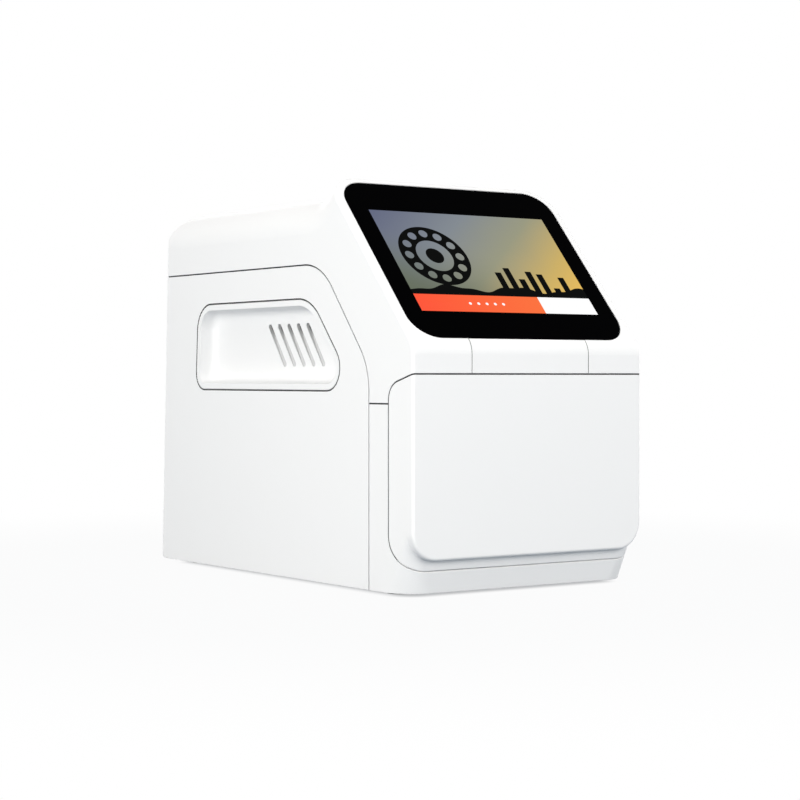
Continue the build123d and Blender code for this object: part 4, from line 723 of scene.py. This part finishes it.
def buildSeamShades():
    look = seamShadeLook
    # The dark rubber finish serves strips of painted seam shade
    rubber = softRubber("seamShadeStrip")
    half, deep = look["half"], look["deep"] - look["sunk"]
    profile = strip(-half, half, -deep, 0)
    path, out = coverSeamShadePath()
    parts = carry(profile, path, out)
    for side in (-1, 1):
        outwards = (side * 1.0, 0.0, 0.0)
        skin = side * (case["halfWidth"] - look["sunk"])
        parts += carry(profile, spots(skin, np.array(look["wing"]), look["wingHeight"]), outwards)
        upright = np.array(look["upright"])
        back = case["depth"] - upright * math.tan(case["rearLean"]) - look["sunk"]
        parts += carry(profile, spots(side * case["rearSplit"], back, upright), rearOut)
        # Thin dark strip round the grip insert: painted shade of its seam
        outline = rounded(look["trim"], True)
        around = spots(side * case["halfWidth"], outline[:, 0], outline[:, 1])
        low, high = sorted((0, side * look["trimWidth"]))
        parts += carry(strip(low, high, *look["trimRun"]), around, outwards, True)
        # Beside the paper door, against the cover: a dark strip of painted seam shade
        slope, foot, end = case["slope"], case["slopeStart"] * 1000, look["doorEnd"]
        nose = [(0, case["drawerTop"] + look["doorGap"], 0), (0, foot, case["noseCurve"])]
        nose = rounded([*nose, (end * math.cos(slope), foot + end * math.sin(slope), 0)])
        ahead = unit(np.gradient(nose, axis=0))
        out = np.column_stack([np.zeros(len(nose)), -ahead[:, 1], ahead[:, 0]])
        beside = spots(side * look["doorSide"], nose[:, 0], nose[:, 1])
        parts += carry(strip(-look["doorHalf"], look["doorHalf"], *look["doorRun"]), beside, out)
    makePiece("caseSeamShades", parts, rubber, "case", look["smooth"])
    # The dark bead round the drawer front, in its gap, is painted seam shade as well
    outer, inner = drawerSeamShadePath(look["sunk"]), drawerSeamShadePath(look["sunk"] + look["drawerStep"])
    bead = carry(strip(*look["drawerSides"], -deep, look["raised"]), outer, unit(outer - inner))
    makePiece("drawerSeamShade", bead, rubber, "drawer", look["smooth"])
    print("seamShadeStrips ready")


buildSeamShades()

# Pan head screws with a cross recess, in shares of the head radius
screwLook = {
    "armHalf": 0.13,
    "armEnd": 0.56,
    "arms": (0, 90, 180, 270),
    "folds": (-45, -32, -22, -13.07, 0, 13.07, 22, 32),  # degrees from the nearest arm
    "inner": (0, 0.6, 0.9, 1.0),  # rings inside the cross, shares of its outline
    "outer": (0.3, 0.55, 0.75, 0.88, 0.96, 1.0),  # rings from the cross to the rim
    "crown": 3.2,
    "recess": 0.5,
    "rim": 0.9,  # points beyond this share belong to the head
    "seat": 0.95,  # and beyond this one to the head's underside or rim
    "seatGap": 0.0002,  # metres from the seat to the first points of the shank
    "turn": 37.0,
    "smooth": 35.0,
}


def solidsOf(node):
    # Vertices of each separate solid in a node: the lowest index spreads along the edges
    mesh = node.data
    points = np.empty(len(mesh.vertices) * 3, dtype=np.float32)
    mesh.vertices.foreach_get("co", points)
    edges = np.empty(len(mesh.edges) * 2, dtype=np.int32)
    mesh.edges.foreach_get("vertices", edges)
    points, merged = np.unique(points.reshape(-1, 3).round(6), axis=0, return_inverse=True)
    edges = merged.reshape(-1)[edges].reshape(-1, 2)
    label = np.arange(len(points))
    while True:
        before = label.copy()
        np.minimum.at(label, edges[:, 0], before[edges[:, 1]])
        np.minimum.at(label, edges[:, 1], before[edges[:, 0]])
        if (label == before).all():
            return [points[label == kind].astype(float) for kind in np.unique(label)]


def crossScrew(solid, turn):
    look = screwLook
    # The axis is the odd one of the three spreads, and points to the head
    middle = solid.mean(axis=0)
    spread, lines = np.linalg.eigh(np.cov((solid - middle).T))
    axis = lines[:, 2] if spread[2] - spread[1] > spread[1] - spread[0] else lines[:, 0]
    along = (solid - middle) @ axis
    away = np.linalg.norm(solid - middle - along[:, None] * axis, axis=1)
    head = away.max()
    if along[away > look["rim"] * head].mean() < 0:
        axis, along = -axis, -along
    seat = along[away > look["seat"] * head].min()
    tall, length = along.max() - seat, seat - along.min()
    below = along < seat - look["seatGap"]
    shank = away[below].max() if below.any() else head / 2
    # Rings shaped as the cross: star(angle) = min(end / cos, half width / |sin|) from the nearest arm
    fold = np.radians(np.array(look["folds"]))
    angle = (fold[None, :] + np.radians(look["arms"])[:, None]).reshape(-1) + turn
    fold = np.tile(fold, len(look["arms"]))
    reach = look["armHalf"] * head / np.maximum(np.abs(np.sin(fold)), 0.001)
    star = np.minimum(look["armEnd"] * head / np.cos(fold), reach)
    inner, outer = np.array(look["inner"])[:, None], np.array(look["outer"])[:, None]
    radius = np.concatenate([inner * star, star + (head - star) * outer])
    crown = tall * np.sqrt(np.clip(1 - (radius / head) ** look["crown"], 0, 1))  # h sqrt(1 - (r/R)^3.2)
    crown[:len(inner) - 1] -= look["recess"] * tall
    foot = np.array(((head, 0), (shank, 0), (shank, -length), (0, -length)))
    radius = np.concatenate([radius, np.broadcast_to(foot[:, :1], (len(foot), len(star)))])
    crown = np.concatenate([crown, np.broadcast_to(foot[:, 1:], (len(foot), len(star)))])
    first = unit(np.cross(axis, (1.0, 0.3, 0.2) if abs(axis[0]) < 0.8 else (0.0, 1.0, 0.0)))
    second = np.cross(axis, first)
    flat = np.cos(angle)[None, :, None] * first + np.sin(angle)[None, :, None] * second
    points = middle + seat * axis + radius[..., None] * flat + crown[..., None] * axis
    return points, gridFaces(len(points), len(star), False, True)


def buildScrews():
    for name in [node for node in slotOf if node.endswith("_screws")]:
        solids = solidsOf(nodes[name])
        parts = []
        for index, solid in enumerate(solids):
            parts.append(crossScrew(solid, math.radians(screwLook["turn"] * index)))
        kind = name.split("_")[0]
        body = "drawer" if kind in ("front", "slide") else "case"
        steel, smooth = looks["screw_steel"], screwLook["smooth"]
        screws = makePiece(kind + "CrossScrews", parts, steel, body, smooth)
        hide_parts(name)
        print(name, len(solids))


buildScrews()


def onRear(across, up, out):  # rear panel millimetres to frame metres
    across, up, out = np.broadcast_arrays(across, up, out)
    lean = case["rearLean"]
    back = case["rearY"] * 1000 + out * math.cos(lean) - up * math.sin(lean)
    high = case["footStand"] * 1000 + out * math.sin(lean) + up * math.cos(lean)
    return np.stack([-across, back, high], axis=-1) / 1000


def buildGuard():
    # Finger guard of welded round wire: rings lie on two crossing bars with an eye at each end
    look = rearLook
    wire, thick, far = look["guardWire"], look["guardThick"], look["fanScrews"]
    x, y = look["fan"]
    turn = np.arange(look["guardSteps"]) * (2 * math.pi / look["guardSteps"])
    parts = []
    for radius in look["guardRings"]:
        ring = onRear(x + radius * np.cos(turn), y + radius * np.sin(turn), thick - wire)
        parts += carry(oval(wire, wire), ring, rearOut, True)
    lugAcross, lugUp = look["lugRadius"] * np.cos(turn[::2]), look["lugRadius"] * np.sin(turn[::2])
    for side in (-1, 1):
        reach = np.linspace(-1, 1, look["barSteps"]) * (far - look["barGap"])
        parts += carry(oval(wire, wire), onRear(x + reach, y + side * reach, wire), rearOut)
        for end in (-1, 1):
            lug = onRear(x + end * far + lugAcross, y + end * side * far + lugUp, thick / 2)
            parts += carry(oval(look["lugHalf"], thick / 2), lug, rearOut, True)
    metal, smooth = looks["motor_metal"], look["guardSmooth"]
    guard = makePiece("wireGuard", parts, metal, "case", smooth)
    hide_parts("fan_guard")


# Contacts in the data sockets, in millimetres from the middle of each socket
contactLook = {
    "wires": 8,
    "wirePitch": 1.02,
    "wireHalf": 0.22,
    "wireSteps": 6,
    "wireBend": [(-11.7, 4.6, 0), (-9.4, 4.6, 1.0), (-3.4, 0.6, 1.0), (-5.4, 2.2, 0)],  # out, up, radius
    "tongueGap": 2.1,
    "tongueHalf": 0.8,
    "tongueSteps": 24,
    "tongueUp": 0.7,
    "tongueRun": (-12.2, -8.0, -3.0, -2.4),  # outwards
    "pads": 4,
    "padPitch": 2.0,
    "padHalf": 0.5,
    "padThick": (-0.16, 0.06),
    "padUp": -0.1,
}


def buildContacts():
    # Tongues of the small sockets and the spring wires of the network socket
    look = contactLook
    gold = sheetMetal("contactGold", (0.78, 0.56, 0.22), 0.26, (200.0, 200.0, 200.0))
    wires, tongues = [], []
    network, *small = rearLook["jacks"]
    x, y = network[:2]
    bend = rounded(look["wireBend"], steps=5)
    wireProfile = oval(look["wireHalf"], look["wireHalf"], look["wireSteps"])
    for wire in range(look["wires"]):
        across = x + (wire - (look["wires"] - 1) / 2) * look["wirePitch"]
        line = onRear(across, y + bend[:, 1], bend[:, 0])
        wires += carry(wireProfile, line, (1.0, 0.0, 0.0))
    run = np.array(look["tongueRun"])
    for x, y, width, height in small:
        tongue = oval(width / 2 - look["tongueGap"], look["tongueHalf"], look["tongueSteps"])
        tongues += carry(tongue, onRear(x, y + look["tongueUp"], run), rearUp)
        for pad in range(look["pads"]):
            across = x + (pad - (look["pads"] - 1) / 2) * look["padPitch"]
            line = onRear(across, y + look["padUp"], run[1:3])
            wires += carry(strip(-look["padHalf"], look["padHalf"], *look["padThick"]), line, -rearUp)
    makePiece("socketContacts", wires, gold, "case")
    makePiece("socketTongues", tongues, looks["black_plastic"], "case")


# Black foam behind the upper ends of the grip's slots, where they open into the case; its black also
# stands in for the shade inside the case
slotShadeFoamLook = {
    "outline": [(122.0, 166.0, 3.0), (204.0, 166.0, 3.0), (204.0, 188.0, 3.0), (122.0, 188.0, 3.0)],
    "front": 81.9,
    "thick": 2.0,
    "edge": 0.5,
    "cell": 0.15,
    "cellPaces": (2.1, 2.3),
    "cellEnd": 0.97,  # the share of the outline where the cells stop
    "rings": (0.0, 0.25, 0.5, 0.75, 0.97, 1.0),
}


def buildSlotShadeFoam():
    # The outline shrinks ring by ring to its middle on both faces;
    # |x| = front - cell * (1 + sin(depth * pace) * sin(height * pace))
    look = slotShadeFoamLook
    outline = rounded(look["outline"], True, 8)
    middle = outline.mean(axis=0)
    share = np.array(look["rings"])[:, None, None]
    face = middle + share * (outline - middle)
    depthPace, heightPace = look["cellPaces"]
    waves = np.sin(face[..., 0] * depthPace) * np.sin(face[..., 1] * heightPace)
    cells = look["cell"] * (1 + waves) * (share[..., 0] < look["cellEnd"])
    front = look["front"] - np.where(share[..., 0] == 1.0, look["edge"], cells)
    back = np.broadcast_to(look["front"] - look["thick"], front.shape)
    parts = []
    for side in (-1, 1):
        faces = [spots(side * front, face[..., 0], face[..., 1])]
        faces.append(spots(side * back, face[..., 0], face[..., 1])[::-1])
        points = np.concatenate(faces)
        parts.append((points, gridFaces(len(points), len(outline), False, True)))
    makePiece("slotShadeFoam", parts, looks["dark_rubber"], "case")


buildGuard()
buildContacts()
buildSlotShadeFoam()
print("rear details ready")

# Studio: floor and world read white to the camera and keep the object's shadow
studio = {
    "world": 0.575,
    "floorSize": 6.0,
    "floorColor": (0.145, 0.188, 0.235, 1.0),
    "floorLift": (0.96, 1.0),  # share of plain white near the object and far away
    "floorFade": (0.3, 0.75),
    # Painted shadow: under the case the floor shows more of its dark colour along with the real shadow
    "shadowLift": 0.5,  # the same share under the case
    "footprint": (0.097, 0.1605, 0.022),  # half width, half depth and corner radius
    "shadowFade": (-0.016, 0.001),
    "lamps": [
        # name, position, target, size, watts, color
        ("topLamp", (-0.1, -0.3, 1.9), (0.0, 0.0, 0.15), 1.6, 0.8, (1.0, 1.0, 1.0)),
        ("backLamp", (0.9, 1.9, 0.55), (0.0, 0.1, 0.15), 1.2, 12.0, (1.0, 1.0, 1.0)),
        ("rightLamp", (1.6, 0.35, 0.35), (0.0, 0.0, 0.15), 1.2, 8.5, (1.0, 1.0, 1.0)),
        ("leftLamp", (-1.45, -0.5, 0.3), (0.0, -0.05, 0.16), 1.0, 18.4, (1.0, 0.98, 0.94)),
        ("frontLamp", (0.35, -1.9, 0.8), (0.0, 0.0, 0.12), 1.3, 19.6, (1.0, 0.985, 0.955)),
    ],
}


def camFactor(tree):  # 1 for camera, glossy and transmission rays, otherwise 0
    path = tree.nodes.new("ShaderNodeLightPath")
    total = path.outputs["Is Camera Ray"]
    for name in ("Is Glossy Ray", "Is Transmission Ray"):
        adder = tree.nodes.new("ShaderNodeMath")
        adder.operation = "ADD"
        adder.use_clamp = True
        tree.links.new(total, adder.inputs[0])
        tree.links.new(path.outputs[name], adder.inputs[1])
        total = adder.outputs[0]
    return total


def aimed(name, data, spot, ahead):  # a lamp or camera at a spot, looking ahead
    made = bpy.data.objects.new(name, data)
    made.location = spot
    made.rotation_mode = "QUATERNION"
    made.rotation_quaternion = ahead.to_track_quat("-Z", "Y")
    bpy.context.scene.collection.objects.link(made)
    return made


def buildWorld():
    world = bpy.data.worlds.new("softRoom")
    bpy.context.scene.world = world
    world.use_nodes = True
    tree = world.node_tree
    tree.nodes.clear()
    mixed = tree.nodes.new("ShaderNodeMixShader")
    tree.links.new(camFactor(tree), mixed.inputs[0])
    for index, strength in ((1, studio["world"]), (2, 1.0)):
        light = tree.nodes.new("ShaderNodeBackground")
        light.inputs["Color"].default_value = (1.0, 1.0, 1.0, 1.0)
        light.inputs["Strength"].default_value = strength
        tree.links.new(light.outputs[0], mixed.inputs[index])
    end = tree.nodes.new("ShaderNodeOutputWorld")
    tree.links.new(mixed.outputs[0], end.inputs["Surface"])


def buildFloor():
    half = studio["floorSize"] / 2
    mesh = bpy.data.meshes.new("floor")
    corners = [(-half, -half, 0), (half, -half, 0), (half, half, 0), (-half, half, 0)]
    mesh.from_pydata(corners, [], [(0, 1, 2, 3)])
    floor = bpy.data.objects.new("floor", mesh)
    bpy.context.scene.collection.objects.link(floor)
    finish = Finish("paleFloor", studio["floorColor"], 0.9, Specular_IOR_Level=0.0)
    x, y = finish.axes()[:2]
    low, high = studio["floorLift"]
    around = low + (high - low) * x.reach(y).soft(*studio["floorFade"])
    # Painted shadow: under the case's footprint less white is lifted into the floor, so its dark colour
    # and real shadow show
    # Distance from the case's rounded footprint: sqrt(qx^2 + qy^2) - r, q = max(|p| - (half - r), 0)
    wide, long, corner = studio["footprint"]
    sideways = (x.size() - (wide - corner)).higher(0.0)
    lengthways = (y.size() - (long - corner)).higher(0.0)
    clear = (sideways.reach(lengthways) - corner).soft(*studio["shadowFade"])
    gap = studio["shadowLift"]
    lifted = (gap + (around - gap) * clear) * Wire(finish, camFactor(finish.tree))
    glow = finish.tree.nodes.new("ShaderNodeEmission")
    blend = finish.tree.nodes.new("ShaderNodeMixShader")
    for index, socket in enumerate((lifted.socket, finish.shader.outputs[0], glow.outputs[0])):
        finish.tree.links.new(socket, blend.inputs[index])
    finish.tree.links.new(blend.outputs[0], finish.end.inputs["Surface"])
    mesh.materials.append(finish.material)


def buildLamps():
    for name, spot, target, size, power, color in studio["lamps"]:
        data = bpy.data.lights.new(name, "AREA")
        data.shape = "DISK"
        data.size = size
        data.energy = power
        data.color = color
        aimed(name, data, spot, Vector(target) - Vector(spot))


# Camera at the photograph's angle, for an 800 by 800 frame
eye = {"place": (-0.82396, -1.1997, 0.14367), "yaw": -34.86, "pitch": -0.68, "lens": 88.655}


def buildCamera():
    yaw, pitch = math.radians(eye["yaw"]), math.radians(eye["pitch"])
    level = math.cos(pitch)
    ahead = Vector((-math.sin(yaw) * level, math.cos(yaw) * level, math.sin(pitch)))
    data = bpy.data.cameras.new("camera")
    data.sensor_width = 36.0
    data.lens = eye["lens"]
    data.clip_start = 0.05
    bpy.context.scene.camera = aimed("camera", data, eye["place"], ahead)


buildWorld()
buildFloor()
buildLamps()
buildCamera()
print("studio ready")
bpy.context.scene.view_settings.view_transform = "Standard"
